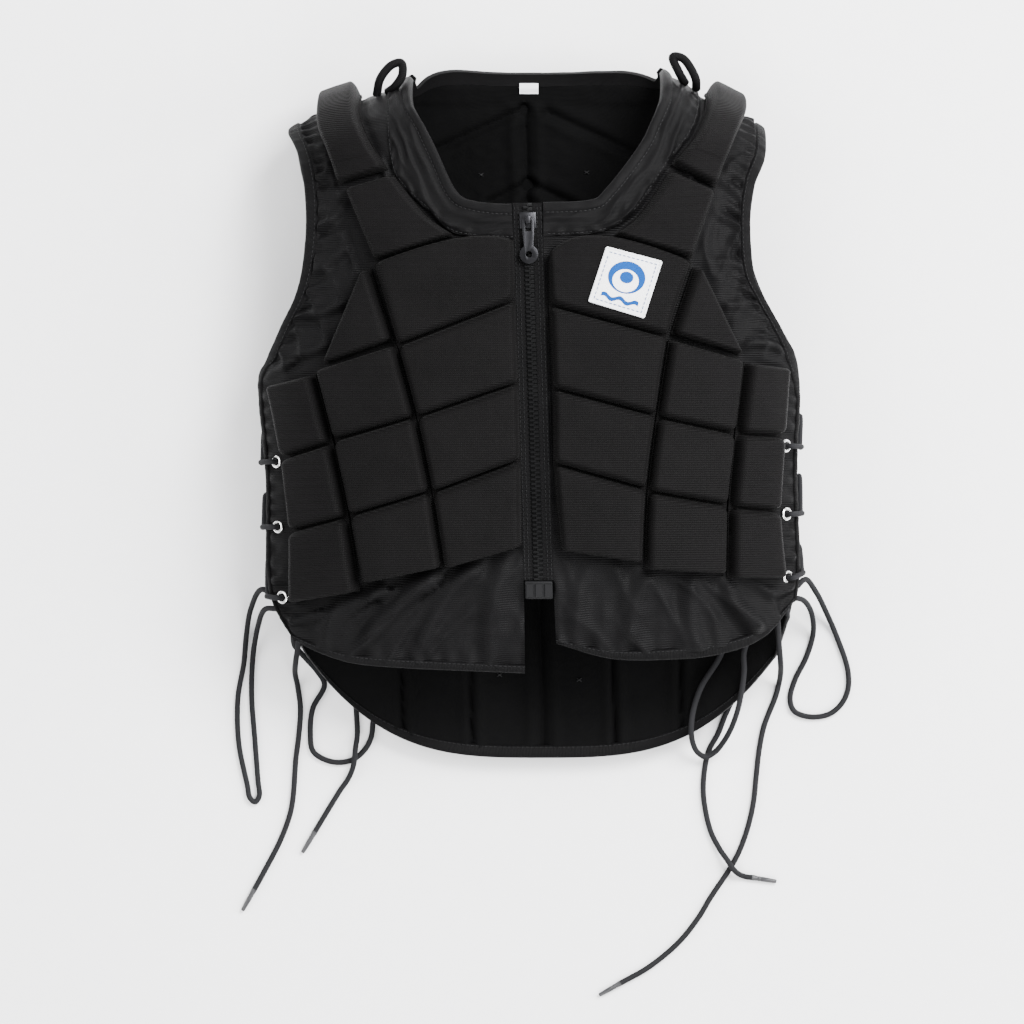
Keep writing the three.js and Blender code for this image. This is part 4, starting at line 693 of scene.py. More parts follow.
def make(name, shape, key, replaces=None, smooth_to=55):
    """A piece from points, faces and perhaps UVs, its faces turned outwards. It stands for the node of its
    own name, or for those given."""
    points, faces, *uv = shape
    faces = [list(face) for face in faces]
    if volume(points, faces) < 0:
        faces = [face[::-1] for face in faces]
    mesh = bpy.data.meshes.new(name)
    mesh.from_pydata(((points + SHIFT) * MM).tolist(), [], faces)
    if uv:
        corners = np.empty(len(mesh.loops), np.int32)
        mesh.loops.foreach_get("vertex_index", corners)
        layer = mesh.uv_layers.new(name="cloth")
        layer.data.foreach_set("uv", uv[0][corners].ravel())
    return placed(name, mesh, key, [name] if replaces is None else replaces, smooth_to)


def sheet_shape(x, s, low, high):
    """Points, faces and UVs of a closed sheet on the cloth between two levels, the UVs in metres along it."""
    uv = np.stack([x, s], -1).reshape(-1, 2) * MM
    points, faces = closed_sheet(lifted(x, s, high), lifted(x, s, low))
    return points, faces.tolist(), np.concatenate([uv, uv])


def area_of(points):
    """Area of one face of a sheet given as a grid of points."""
    a, b = points[1:, :-1] - points[:-1, :-1], points[:-1, 1:] - points[:-1, :-1]
    return np.linalg.norm(np.cross(a, b), axis=-1).sum() * MM * MM


def smooth_route(points, step=1.5):
    """Centripetal cubic curve through the points, sampled at even steps."""
    points = np.asarray(points, float)
    ends = [2 * points[0] - points[1], *points, 2 * points[-1] - points[-2]]
    pieces = []
    for a, b, c, d in zip(ends, ends[1:], ends[2:], ends[3:]):
        gaps = [max(1e-4, np.linalg.norm(q - p) ** 0.5) for p, q in ((a, b), (b, c), (c, d))]
        start = ((b - a) / gaps[0] - (c - a) / (gaps[0] + gaps[1]) + (c - b) / gaps[1]) * gaps[1]
        end = ((c - b) / gaps[1] - (d - b) / (gaps[1] + gaps[2]) + (d - c) / gaps[2]) * gaps[1]
        t = np.linspace(0, 1, 24, endpoint=False)[:, None]
        pieces.append(
            b + start * t + (3 * (c - b) - 2 * start - end) * t**2 + (2 * (b - c) + start + end) * t**3
        )
    curve = np.concatenate([*pieces, points[-1:]])
    run = run_along(curve)
    count = max(4, int(run[-1] / step))
    even = np.linspace(0, run[-1], count)
    return np.stack([np.interp(even, run, curve[:, k]) for k in range(3)], -1)


def frames_along(path):
    """Two unit vectors square to the path at each point, turning as little as possible."""
    run = unit(np.gradient(path, axis=0))
    sides = [unit(np.cross(run[0], [0, 0, 1] if abs(run[0][2]) < 0.9 else [1, 0, 0]))]
    for direction in run[1:]:
        sides.append(unit(sides[-1] - direction * sides[-1].dot(direction)))
    sides = np.array(sides)
    return sides, np.cross(run, sides)


def tube(path, radius, sides):
    """A round body along a path: a circle at each point, its radius one value or one for each point."""
    angle = circle(sides)
    radius = np.broadcast_to(radius, len(path))[:, None, None]
    rings = path[:, None] + radius * spokes(*frames_along(path), angle)
    return ring_body(rings, angle / (2 * np.pi), run_along(path)[:, None] * MM)


def joined(*bodies):
    """Several bodies of points, faces and UVs as one."""
    points, faces, uvs, start = [], [], [], 0
    for body_points, body_faces, uv in bodies:
        if volume(body_points, body_faces) < 0:
            body_faces = [list(f)[::-1] for f in body_faces]
        points.append(body_points)
        uvs.append(uv)
        faces += [[start + k for k in f] for f in body_faces]
        start += len(body_points)
    return np.concatenate(points), faces, np.concatenate(uvs)


def sewn_line(name, line, level, settings, key="thread"):
    """Stitches along a line of places on the cloth at a height above it: short rods of seven rings, each
    arched as a half sine and sunk at both ends."""
    line = np.asarray(line, float)
    path, normals = lifted(line[:, 0], line[:, 1], level), outward(line[:, 0], line[:, 1])
    length = settings.stitch / MM
    run = run_along(path)
    count = int(run[-1] // (length + STITCH_GAP))
    if count < 1:
        raise RuntimeError(f"{name} has no room for a stitch")
    t = np.linspace(0, 1, 7)
    at = np.arange(count)[:, None] * (length + STITCH_GAP) + t[None] * length
    centre = np.stack([np.interp(at, run, path[:, k]) for k in range(3)], -1)
    normal = unit(np.stack([np.interp(at, run, normals[:, k]) for k in range(3)], -1))
    centre = centre + normal * ((1.6 * np.sin(np.pi * t) - 0.6) * THREAD_RADIUS)[None, :, None]
    side = np.cross(unit(np.gradient(centre, axis=1)), normal)
    rings = centre[:, :, None] + THREAD_RADIUS * spokes(side, normal, circle(6))
    index = np.arange(count * 42).reshape(count, 7, 6)
    caps = index[:, 0, ::-1].reshape(-1, 6).tolist() + index[:, -1].reshape(-1, 6).tolist()
    return make(name, (rings.reshape(-1, 3), walls(index) + caps), key, replaces=())


def even(place, u, low, high, cell):
    """Rows between low and high that lie about a cell apart along the line of one u."""
    dense = np.linspace(low, high, 600)
    run = run_along(np.stack(place(np.full_like(dense, u), dense), -1))
    return np.interp(np.linspace(0, run[-1], max(3, round(run[-1] / cell) + 1)), run, dense)


def nodes_for(name, colour, roughness, sheen, metallic, gloss):
    """A new material: its node tree, its shader and a function that adds a node with values and links."""
    made = bpy.data.materials.new(name)
    made.use_nodes = True
    made.diffuse_color = (*colour, 1)
    tree = made.node_tree
    shader = next(node for node in tree.nodes if node.type == "BSDF_PRINCIPLED")
    values = {
        "Base Color": (*colour, 1), "Roughness": roughness, "Metallic": metallic, "Sheen Weight": sheen,
        "Sheen Roughness": 0.45, "Specular IOR Level": gloss,
    }
    for key, value in values.items():
        shader.inputs[key].default_value = value

    def add(kind, inputs=(), **settings):
        node = tree.nodes.new(kind)
        for key, value in settings.items():
            setattr(node, key, value)
        for key, value in dict(inputs).items():
            if isinstance(value, bpy.types.NodeSocket):
                tree.links.new(value, node.inputs[key])
            else:
                node.inputs[key].default_value = value
        return node

    return made, tree, shader, add


def varied(tree, shader, add, colour, spread, scale, roughness):
    """Base colour and roughness drift with a soft noise on the piece's own coordinates."""
    place = add("ShaderNodeTexCoord").outputs["Object"]
    noise = add("ShaderNodeTexNoise", {"Vector": place, "Scale": scale, "Detail": 5.0, "Roughness": 0.6})
    dark = tuple(channel * (1 - spread) for channel in colour)
    light = tuple(min(1, channel * (1 + spread)) for channel in colour)
    ramp = add("ShaderNodeValToRGB", {"Fac": noise.outputs["Fac"]})
    ramp.color_ramp.elements[0].position, ramp.color_ramp.elements[1].position = 0.3, 0.7
    ramp.color_ramp.elements[0].color, ramp.color_ramp.elements[1].color = (*dark, 1), (*light, 1)
    tree.links.new(ramp.outputs["Color"], shader.inputs["Base Color"])
    spot = add("ShaderNodeMapRange", {
        "Value": noise.outputs["Fac"], "From Min": 0.3, "From Max": 0.7,
        "To Min": roughness - 0.05, "To Max": min(1, roughness + 0.05),
    })
    tree.links.new(spot.outputs["Result"], shader.inputs["Roughness"])
    return place


def woven(name, colour, pitch, depth, roughness, sheen, gloss, spread=0.18):
    """Ribbed cloth: sine ribs across the cloth's length every pitch, cut into floats by a finer sine across,
    over a fine noise of threads; all as a bump."""
    made, tree, shader, add = nodes_for(name, colour, roughness, sheen, 0.0, gloss)
    place = varied(tree, shader, add, colour, spread, 24.0, roughness)
    cloth_uv = add("ShaderNodeUVMap", uv_map="cloth").outputs["UV"]
    parts = add("ShaderNodeSeparateXYZ", {"Vector": cloth_uv}).outputs

    def math_node(operation, *values):
        return add("ShaderNodeMath", enumerate(values), operation=operation).outputs[0]

    ribs = math_node("SINE", math_node("MULTIPLY", parts["Y"], 2 * math.pi / pitch))
    floats = math_node("SINE", math_node("MULTIPLY", parts["X"], 2 * math.pi / (pitch * 0.8)))
    cut = math_node("MULTIPLY", math_node("MULTIPLY", ribs, floats), 0.35)
    threads = add("ShaderNodeTexNoise", {"Vector": place, "Scale": 1600.0, "Detail": 3.0})
    fibre = math_node("MULTIPLY", threads.outputs["Fac"], 1.1)
    height = math_node("ADD", math_node("ADD", ribs, cut), fibre)
    bump = add("ShaderNodeBump", {"Height": height, "Strength": 0.75, "Distance": depth})
    tree.links.new(bump.outputs["Normal"], shader.inputs["Normal"])
    return made


def grained(name, colour, roughness, grain, depth, gloss=0.4, sheen=0.0, metallic=0.0, spread=0.12):
    """Moulded, cast or plain surface: a fine noise as a bump, colour and roughness drifting softly."""
    made, tree, shader, add = nodes_for(name, colour, roughness, sheen, metallic, gloss)
    place = varied(tree, shader, add, colour, spread, 60.0, roughness)
    fine = add("ShaderNodeTexNoise", {"Vector": place, "Scale": grain, "Detail": 4.0})
    bump = add("ShaderNodeBump", {"Height": fine.outputs["Fac"], "Strength": 0.5, "Distance": depth})
    tree.links.new(bump.outputs["Normal"], shader.inputs["Normal"])
    return made


# Cloths: name, colour, pitch and depth of ribs, roughness, sheen, gloss and, for two, the colour's spread.
# Others: name, colour, roughness, grain, depth of the grain, gloss, sheen and metallic.
LOOKS = {
    "shell": (woven, "ribbed shell cloth", (0.0029, 0.0028, 0.003), 0.0018, 0.00014, 0.5, 0.004, 0.045),
    "band": (woven, "smooth band cloth", (0.003, 0.0029, 0.0031), 0.0010, 0.00007, 0.5, 0.004, 0.04),
    "padding": (woven, "ribbed pad cloth", (0.0028, 0.0026, 0.0027), 0.0018, 0.0003, 0.55, 0.012, 0.035),
    "lining": (woven, "smooth lining", (0.0017, 0.0017, 0.0018), 0.0009, 0.0001, 0.7, 0.0, 0.03),
    "binding": (woven, "binding tape", (0.0024, 0.0023, 0.0025), 0.0012, 0.0002, 0.55, 0.002, 0.05),
    "label": (woven, "woven label", (0.86, 0.87, 0.89), 0.0006, 0.0001, 0.75, 0.0, 0.22, 0.03),
    "motif": (woven, "blue embroidery", (0.0018, 0.045, 0.2), 0.0008, 0.00015, 0.6, 0.0, 0.1, 0.08),
    "cord": (grained, "braided cord", (0.0095, 0.0095, 0.0105), 0.75, 2600.0, 0.0002, 0.08, 0.01),
    "thread": (grained, "sewing thread", (0.006, 0.006, 0.0065), 0.5, 3000.0, 0.0001, 0.15),
    "plastic": (grained, "moulded plastic", (0.0028, 0.0028, 0.003), 0.4, 900.0, 0.00004, 0.07),
    "box": (grained, "moulded box plastic", (0.007, 0.007, 0.0075), 0.5, 900.0, 0.00004, 0.06),
    "tip": (grained, "cord tip plastic", (0.02, 0.02, 0.022), 0.35, 900.0, 0.00004),
    "grey_metal": (grained, "satin grey metal", (0.022, 0.022, 0.024), 0.34, 700.0, 0.00004, 0.4, 0.0, 1.0),
    "nickel": (grained, "bright nickel", (0.80, 0.80, 0.79), 0.2, 400.0, 0.00002, 0.4, 0.0, 1.0),
}
made_looks = {}


def look(key):
    """A finish by its key, made the first time that it is asked for."""
    if key not in made_looks:
        kind, *values = LOOKS[key]
        made_looks[key] = kind(*values)
    return made_looks[key]


def metres(name, description, default):
    """A setting that is a length."""
    return FloatProperty(name=name, description=description, default=default, unit="LENGTH", precision=5)


class VEST_PG_stage(bpy.types.PropertyGroup):
    """Camera, floor and lights."""

    camera_height: metres("Camera Height", "Height of the camera over the floor", 10.0)
    camera_place: FloatVectorProperty(
        name="Camera Place", description="Spot on the floor under the camera", default=(-0.01564, -0.08452),
        size=2, unit="LENGTH"
    )
    field: metres("Field", "Width seen at the vest's mid height", 0.8192)
    mid_height: metres("Mid Height", "Height at which the field is measured", 0.07)
    floor_colour: FloatVectorProperty(
        name="Floor Colour", description="Colour of the plain floor", default=(0.86, 0.86, 0.87), size=3,
        subtype="COLOR"
    )
    key_power: FloatProperty(
        name="Key Power", description="Power of the key light", default=370.0, unit="POWER"
    )
    fill_power: FloatProperty(
        name="Fill Power", description="Power of each fill light", default=115.0, unit="POWER"
    )
    sky: FloatProperty(
        name="Sky", description="Strength of the plain surround", default=0.98, subtype="FACTOR"
    )


class VEST_PG_cords(bpy.types.PropertyGroup):
    """Free cords, lacing and their braid."""

    diameter: metres("Diameter", "Diameter of the braided cord", 0.0045)
    braid_pitch: metres("Braid Pitch", "Length of one crossing of the braid", 0.0032)
    strands: IntProperty(name="Strands", description="Ridges of the braid round the cord", default=6)
    step: metres("Step", "Length between a cord's rings", 0.0007)


class VEST_PG_cloth(bpy.types.PropertyGroup):
    """Cloth panels, pads and bindings."""

    cell: metres("Cell", "Size of the panels' mesh cells", 0.0022)
    pad_cell: metres("Pad Cell", "Size of the pads' inner mesh cells", 0.003)
    wrinkle: metres("Wrinkle", "Height of the loose cloth's wrinkles", 0.0042)
    pucker: metres("Pucker", "Height of the gathers along the bindings", 0.002)
    puff: metres("Puff", "How far each pad swells at its middle", 0.0012)
    pad_edge: metres("Pad Edge", "Width of a pad's rounded edge", 0.0052)
    stitch: metres("Stitch", "Length of a stitch", 0.0026)


class VEST_OT_stage(bpy.types.Operator):
    """Camera straight above the vest, a pale floor and soft lights"""

    bl_idname = "vest.stage"
    bl_label = "Stage"

    def execute(self, context):
        to = context.scene.vest_stage
        x, y = to.camera_place
        lens = bpy.data.cameras.new("camera")
        lens.sensor_width = 36
        lens.lens = lens.sensor_width * (to.camera_height - to.mid_height) / to.field
        lens.clip_end = 100
        camera = bpy.data.objects.new("camera", lens)
        camera.location = (x, y, to.camera_height)
        context.scene.collection.objects.link(camera)
        context.scene.camera = camera

        mesh = bpy.data.meshes.new("floor")
        mesh.from_pydata([(-6, -6, 0), (6, -6, 0), (6, 6, 0), (-6, 6, 0)], [], [(0, 1, 2, 3)])
        plain_floor = grained("plain floor", tuple(to.floor_colour), 0.9, 300.0, 0.00005, spread=0.01)
        mesh.materials.append(plain_floor)
        floor = bpy.data.objects.new("floor", mesh)
        context.scene.collection.objects.link(floor)

        for name, power, size, place in (
            ("key light", to.key_power, 1.6, (1.5, 1.6, 2.6)),
            ("left fill light", to.fill_power, 2.2, (-2.2, 0.4, 2.0)),
            ("low fill light", to.fill_power, 2.2, (0.3, -2.2, 2.2)),
            ("right fill light", to.fill_power, 1.3, (2.4, 0.0, 1.3)),
        ):
            lamp = bpy.data.lights.new(name, "AREA")
            lamp.energy, lamp.size = power, size
            light = bpy.data.objects.new(name, lamp)
            light.location = place
            light.rotation_euler = (-Vector(place)).to_track_quat("-Z", "Y").to_euler()
            context.scene.collection.objects.link(light)
        world = bpy.data.worlds.new("surround")
        world.use_nodes = True
        sky = next(node for node in world.node_tree.nodes if node.type == "BACKGROUND")
        sky.inputs["Color"].default_value = (1, 1, 1, 1)
        sky.inputs["Strength"].default_value = to.sky
        context.scene.world = world
        return {"FINISHED"}


def braided(path, settings, squeeze=1.0):
    """A cord whose radius follows a braid: radius * (1 + 0.045 * cos(n a + k) * cos(n a - k)), where a is
    the angle round it, n half its strands and k grows by pi every braid pitch."""
    radius = settings.diameter / MM / 2
    angle = circle(4 * settings.strands)
    run = run_along(path)[:, None]
    k = np.pi * run / (settings.braid_pitch / MM)
    turn = settings.strands * angle / 2
    bulge = radius * (1 + BRAID_RIDGE * (np.cos(turn + k) * np.cos(turn - k))) * squeeze
    rings = path[:, None] + bulge[..., None] * spokes(*frames_along(path), angle)
    return ring_body(rings, angle * radius * MM, run * MM)


def tip_rings(start, along_tip):
    """A moulded tip: a stepped sleeve with two crimps, tapering to a rounded nose."""
    profile = np.array(TIP_PROFILE)
    side = np.cross(along_tip, [0, 0, 1])
    ring = spokes(side, np.cross(side, along_tip), circle(24))
    return start + along_tip * profile[:, None, :1] + ring[None] * profile[:, 1, None, None]


class VEST_OT_cords(bpy.types.Operator):
    """Eight loose cord lengths from the two knots, with the tips of the four free ends"""

    bl_idname = "vest.cords"
    bl_label = "Loose Cords"

    def execute(self, context):
        to = context.scene.vest_cords
        for name, spots in FREE_CORDS.items():
            places = [(*spot, CORD_LIFT)[:3] for spot in spots]
            route = smooth_route(places, to.step / MM)
            route[:, 2] = np.maximum(route[:, 2], CORD_LIFT)
            piece = make(name, braided(route, to), "cord", smooth_to=80)
            tips = []
            if name.endswith("end"):
                run = unit((np.array(places[-1]) - places[-2]) * [1, 1, 0])
                tip = name.replace("cord", "tip")
                shape = closed_rings(tip_rings(route[-1], run))
                tips = [make(tip, shape, "tip", smooth_to=40)]
        return {"FINISHED"}


def shell_place(side):
    """A front panel's spots, reaching a little under its side binding."""

    def place(u, v):
        edge = 1 - (binding_width(v, FRONT_ARMHOLE_ROW) - TUCK) / front_length(side, v)
        return front_spot(side, np.asarray(u) * edge, v)

    return place


def pad_distance(side, x, s):
    """How far each spot of a front panel lies from the nearest pad outline, along the cloth."""
    away = np.full(x.shape, 99.0)
    for name in PADS[side]:
        near, middle, far, _ = pad_lines(side, name)
        ring = [*near, middle[-1], *far[::-1], middle[0]]
        for a, b in zip(ring, ring[1:] + ring[:1]):
            away = np.minimum(away, to_line(x, s, a, b))
    return away


class VEST_OT_fronts(bpy.types.Operator):
    """The two front panels with their folds and gathers"""

    bl_idname = "vest.fronts"
    bl_label = "Front Panels"

    def execute(self, context):
        to = context.scene.vest_cloth
        cell = to.cell / MM
        for seed, side in enumerate(FRONT_ROWS):
            place = shell_place(side)
            v = even(place, 0.75, HEM_TUCK, FRONT_TOP, cell)[:, None]
            wide = float(front_length(side, FRONT_MID_ROW))
            u = np.linspace(0, 1, round(wide / cell))[None]
            x, s = place(u, v)
            length = front_length(side, v)
            away = (1 - u) * length
            run = run_along(np.concatenate(place(np.ones_like(v), v), -1))[:, None]
            wander = crumple(run, run * 0, 60, 7 + seed)
            gather = np.sin(2 * np.pi * run / GATHER_PITCH + 2.4 * wander)
            gather = gather * np.exp(-((away / GATHER_REACH) ** 1.5))
            hem = np.sin(2 * np.pi * x / HEM_GATHER_PITCH + crumple(x, s, 90, seed) * 2)
            hem = hem * bell((v - HEM_ROW) * 60, 11)
            sign = 1 if side == "right" else -1
            arm = np.clip((v - 2.6) / 1.5, 0, 1) * np.clip((u - 0.42) * length / 30, 0, 1)
            skirt = np.clip((1.55 - v) / 0.5, 0, 1)
            steep = two_scales(x, s, 11 + seed, (34, 3.2, 112 * sign), (17, 2.6, 128 * sign))
            slant = two_scales(x, s, 19 + seed, (42, 3.0, 52 * sign), (20, 2.4, 66 * sign))
            soft = 0.5 * crumple(x, s, 45, 3 + seed) + 0.25 * crumple(x, s, 16, 5 + seed)
            bed = pad_distance(side, x, s)
            loose = (arm * (steep - 0.5) + skirt * (slant - 0.5)) * np.clip((bed - 1) / 9, 0, 1)
            high = 1.5 * creases(side, x, s) + soft + to.wrinkle / MM * loose - PAD_BED * bell(bed, 4.5)
            high = high + to.pucker / MM * (gather + 0.5 * hem)
            high = high * np.clip(np.minimum(away - TUCK, u * length) / 2.5, 0, 1)
            name = f"front_{side}_shell"
            piece = make(name, sheet_shape(x, s, high - CLOTH, high), "shell")
            area = area_of(lifted(x, s, high))
            wide = wide * MM
        return {"FINISHED"}


class VEST_OT_back(bpy.types.Operator):
    """The back panel with its quilted lining, neck facing and thread tacks"""

    bl_idname = "vest.back"
    bl_label = "Back Panel"

    def execute(self, context):
        to = context.scene.vest_cloth
        cell = to.cell / MM

        def place(u, v):
            edge = (binding_width(v, BACK_ARMHOLE_ROW) - TUCK) / back_width(v)
            return back_spot(edge + np.asarray(u) * (1 - 2 * edge), v)

        v = even(place, 0.5, HEM_TUCK, BACK_TOP + 1, cell)[:, None]
        u = np.linspace(0, 1, round(2 * HALF_WIDTH * 0.93 / cell))[None]
        x, s = place(u, v)
        flat = cloth(x, s)
        y = flat[..., 1]
        inside = 0.5 * crumple(x, s, 50, 21) + 0.2 * crumple(x, s, 15, 22)
        centre = zip_x(y)
        facing = np.clip((y - FACING_EDGE) / 1.2, 0, 1)
        below = 1 - facing
        for line, half, reach in LINING_LINES:
            shown = below * np.clip((reach - y) / 6, 0, 1)
            away = np.abs(x - centre - line)
            inside = inside + shown * (1.3 * bell(away - 3.4 * half, 4) - LINING_DEPTH * bell(away, half))
        for x0, y0, x1, y1 in LINING_SLANTS:
            away = to_line(x, y, np.array([x0, y0]), np.array([x1, y1]))
            inside = inside + below * (bell(away - 8, 4) - SLANT_DEPTH * bell(away, 2.9))
        for seam in FACING_SEAMS:
            inside = inside - 0.7 * bell(y - seam, 0.9)
        inside = inside + 0.9 * facing
        rim = np.clip(np.minimum(np.minimum(u, 1 - u) * 2 * HALF_WIDTH, 6) / 3, 0, 1)
        inside = -CLOTH - inside * rim
        piece = make("back_shell", sheet_shape(x, s, inside, 0), "lining")
        tacks = []
        t = np.linspace(-1, 1, 9)[:, None]
        for tack_x, tack_y in LINING_TACKS:
            at = lifted(tack_x, on_back(tack_x, tack_y), -CLOTH - 0.4)
            for turn in (0.6, -0.6):
                bow = np.array([math.cos(turn), math.sin(turn), 0]) * 2.2 * t
                tacks.append(tube(at + bow + np.array([0, 0, 0.9]) * (1 - t**2), 0.4, 8))
        make("lining_tacks", joined(*tacks), "thread", replaces=())
        return {"FINISHED"}


def spaced(length, edge, cell):
    """Shares from 0 to 1 along a pad's side, close together near both ends."""
    edge = min(edge, length * 0.4)
    near = edge * np.array([0, 0.04, 0.11, 0.2, 0.32, 0.47, 0.66, 0.84])
    inner = np.linspace(edge, length - edge, max(2, round((length - 2 * edge) / cell) + 1))
    return np.concatenate([near, inner, length - near[::-1]]) / length


def cells(marks, place_at, settings):
    """Places along a pad run's cells between the marks, with each place's own cell's low and high mark."""
    rows = []
    for low, high in zip(marks, marks[1:]):
        (x0, s0), (x1, s1) = place_at(low), place_at(high)
        shares = spaced(float(np.hypot(x1 - x0, s1 - s0)), PAD_CORNER + 1, settings.pad_cell / MM)
        rows += [(low + (high - low) * share, low, high) for share in shares[bool(rows):]]
    return np.array(rows, float).T


def pad(name, place, across, down, settings, swell, seed):
    """A run of foam pads. Each cell's edge rises as a superellipse of the distance d to its rounded outline,
    (1 - (1 - (d - 0.9) / edge)^2.1)^(1 / 2.1), over the web left along the seams."""

    def gap(a, b):
        return np.hypot(a[0] - b[0], a[1] - b[1])

    middle = (across[0] + across[-1]) / 2
    u, u_low, u_high = cells(across, lambda mark: place(mark, down[-1] / 2), settings)[:, None]
    v, v_low, v_high = cells(down, lambda mark: place(middle, mark), settings)[..., None]
    x, s = place(u, v)
    share_u, share_v = (u - u_low) / (u_high - u_low), (v - v_low) / (v_high - v_low)
    dx = np.minimum(share_u, 1 - share_u) * gap(place(u_low, v), place(u_high, v))
    dy = np.minimum(share_v, 1 - share_v) * gap(place(u, v_low), place(u, v_high))
    round_off = np.hypot(np.maximum(PAD_CORNER - dx, 0), np.maximum(PAD_CORNER - dy, 0))
    distance = np.where(round_off > 0, PAD_CORNER - round_off, np.minimum(dx, dy))
    inward = np.clip((distance - SEAM_HALF) / (settings.pad_edge / MM), 0, 1)
    rise = (1 - (1 - inward) ** PAD_POWER) ** (1 / PAD_POWER)
    dome = np.sqrt(np.clip(np.sin(np.pi * share_u) * np.sin(np.pi * share_v), 0, 1))
    rough = 0.32 * crumple(x, s, 38, seed) + 0.14 * crumple(x, s, 13, seed + 1)
    pull = np.sin(2 * np.pi * x / PULL_PITCH) * np.exp(-dy / 3)
    pull = pull + np.sin(2 * np.pi * s / PULL_PITCH) * np.exp(-dx / 3)
    high = PAD_GAP + WEB + rise * (PAD_HEIGHT - WEB + swell * (dome - 0.5) + rough + 0.15 * pull)
    if swell == 0:
        high = np.minimum(high, PAD_GAP + PAD_HEIGHT)
    piece = make(name, sheet_shape(x, s, PAD_GAP, high), "padding", smooth_to=75)


def pad_lines(side, name):
    """A pad run's near, middle and far ends, line by line, and which lines are seams. Two more lines take the
    shoulder pad over the fold."""
    near, middle, far, seams = [], [], [], []
    for near_x, near_y, far_x, far_y, *bend in PADS[side][name]:
        near.append(front_place(near_x, near_y))
        far.append(front_place(far_x, far_y))
        middle.append(front_place(*bend[0]) if any(bend) else (near[-1] + far[-1]) / 2)
        seams.append(bend != [False])
    if name == "shoulder_pad":
        for share in (-SHOULDER_PAD_PAST, SHOULDER_PAD_PAST):
            for line in (near, far):
                x = line[-1][0]
                line.append(np.array([x, over_fold(x, SHOULDER_SEAM_PAST * share)]))
            middle.append((near[-1] + far[-1]) / 2)
            seams.append(share > 0)
    return near, middle, far, seams


class VEST_OT_pads(bpy.types.Operator):
    """Front, shoulder and back foam pads"""

    bl_idname = "vest.pads"
    bl_label = "Pads"

    def execute(self, context):
        to = context.scene.vest_cloth
        seed = 40
        for side, runs in PADS.items():
            for name in runs:
                near, middle, far, seams = pad_lines(side, name)

                def place(u, v, near=near, middle=middle, far=far):
                    u, v = both(u, v)
                    a, b, c = along(near, v), along(middle, v), along(far, v)
                    w = u[..., None]
                    spot = a * (1 - w) * (1 - 2 * w) + b * 4 * w * (1 - w) + c * w * (2 * w - 1)
                    return spot[..., 0], spot[..., 1]

                down = [i for i, seam in enumerate(seams) if seam]
                pad(f"{side}_{name}", place, [0, 1], down, to, to.puff / MM, seed)
                seed += 3

        def centre(u, v):
            u, v = both(u, v)
            row = along(BACK_CENTRE_SEAMS, v)
            y = up(row[..., 0] - row[..., 1] * np.abs(u))
            x = zip_x(y) + out(BACK_CENTRE_HALF) * u
            return x, on_back(x, y)

        pad("back_centre_pads", centre, [-1, 0, 1], list(range(len(BACK_CENTRE_SEAMS))), to, 0, seed)
        for side, sign in (("right", -1), ("left", 1)):

            def flank(u, v, sign=sign):
                u, v = both(u, v)
                row = along(BACK_SIDE_SEAMS, v)
                y = up(row[..., 0])
                inner = zip_x(y) + sign * (out(BACK_CENTRE_HALF) + 0.8)
                x = inner + (sign * out(row[..., 1]) - inner) * u
                return x, on_back(x, y)

            seed += 3
            pad(f"back_{side}_pads", flank, [0, 1], list(range(len(BACK_SIDE_SEAMS))), to, 0, seed)
        return {"FINISHED"}


def tape(name, inner, outer, ripple, seed):
    """A folded tape sewn over an edge between two lines of places on the cloth. Its section is a flat oval,
    whose cosine has the power 0.7 and whose sine has the power 0.55."""
    inner, outer = np.asarray(inner, float), np.asarray(outer, float)
    run = run_along((inner + outer) / 2)[:, None]
    angle = circle(20)[None]
    t = 0.5 + 0.5 * np.sign(np.cos(angle)) * np.abs(np.cos(angle)) ** 0.7
    wave = ripple * (crumple(run, run * 0, 9, seed) + 0.6 * crumple(run, run * 0, 22, seed + 1))
    oval = np.sign(np.sin(angle)) * np.abs(np.sin(angle)) ** 0.55
    level = (TAPE_HIGH + TAPE_LOW) / 2 + (TAPE_HIGH - TAPE_LOW) / 2 * oval
    level = level + wave * np.clip(np.sin(angle), 0, 1)
    spot = outer[:, None] + (inner - outer)[:, None] * t[..., None]
    rings = lifted(spot[..., 0], spot[..., 1], level)
    return make(name, ring_body(rings, t * 0.01, run * MM), "binding", smooth_to=60)


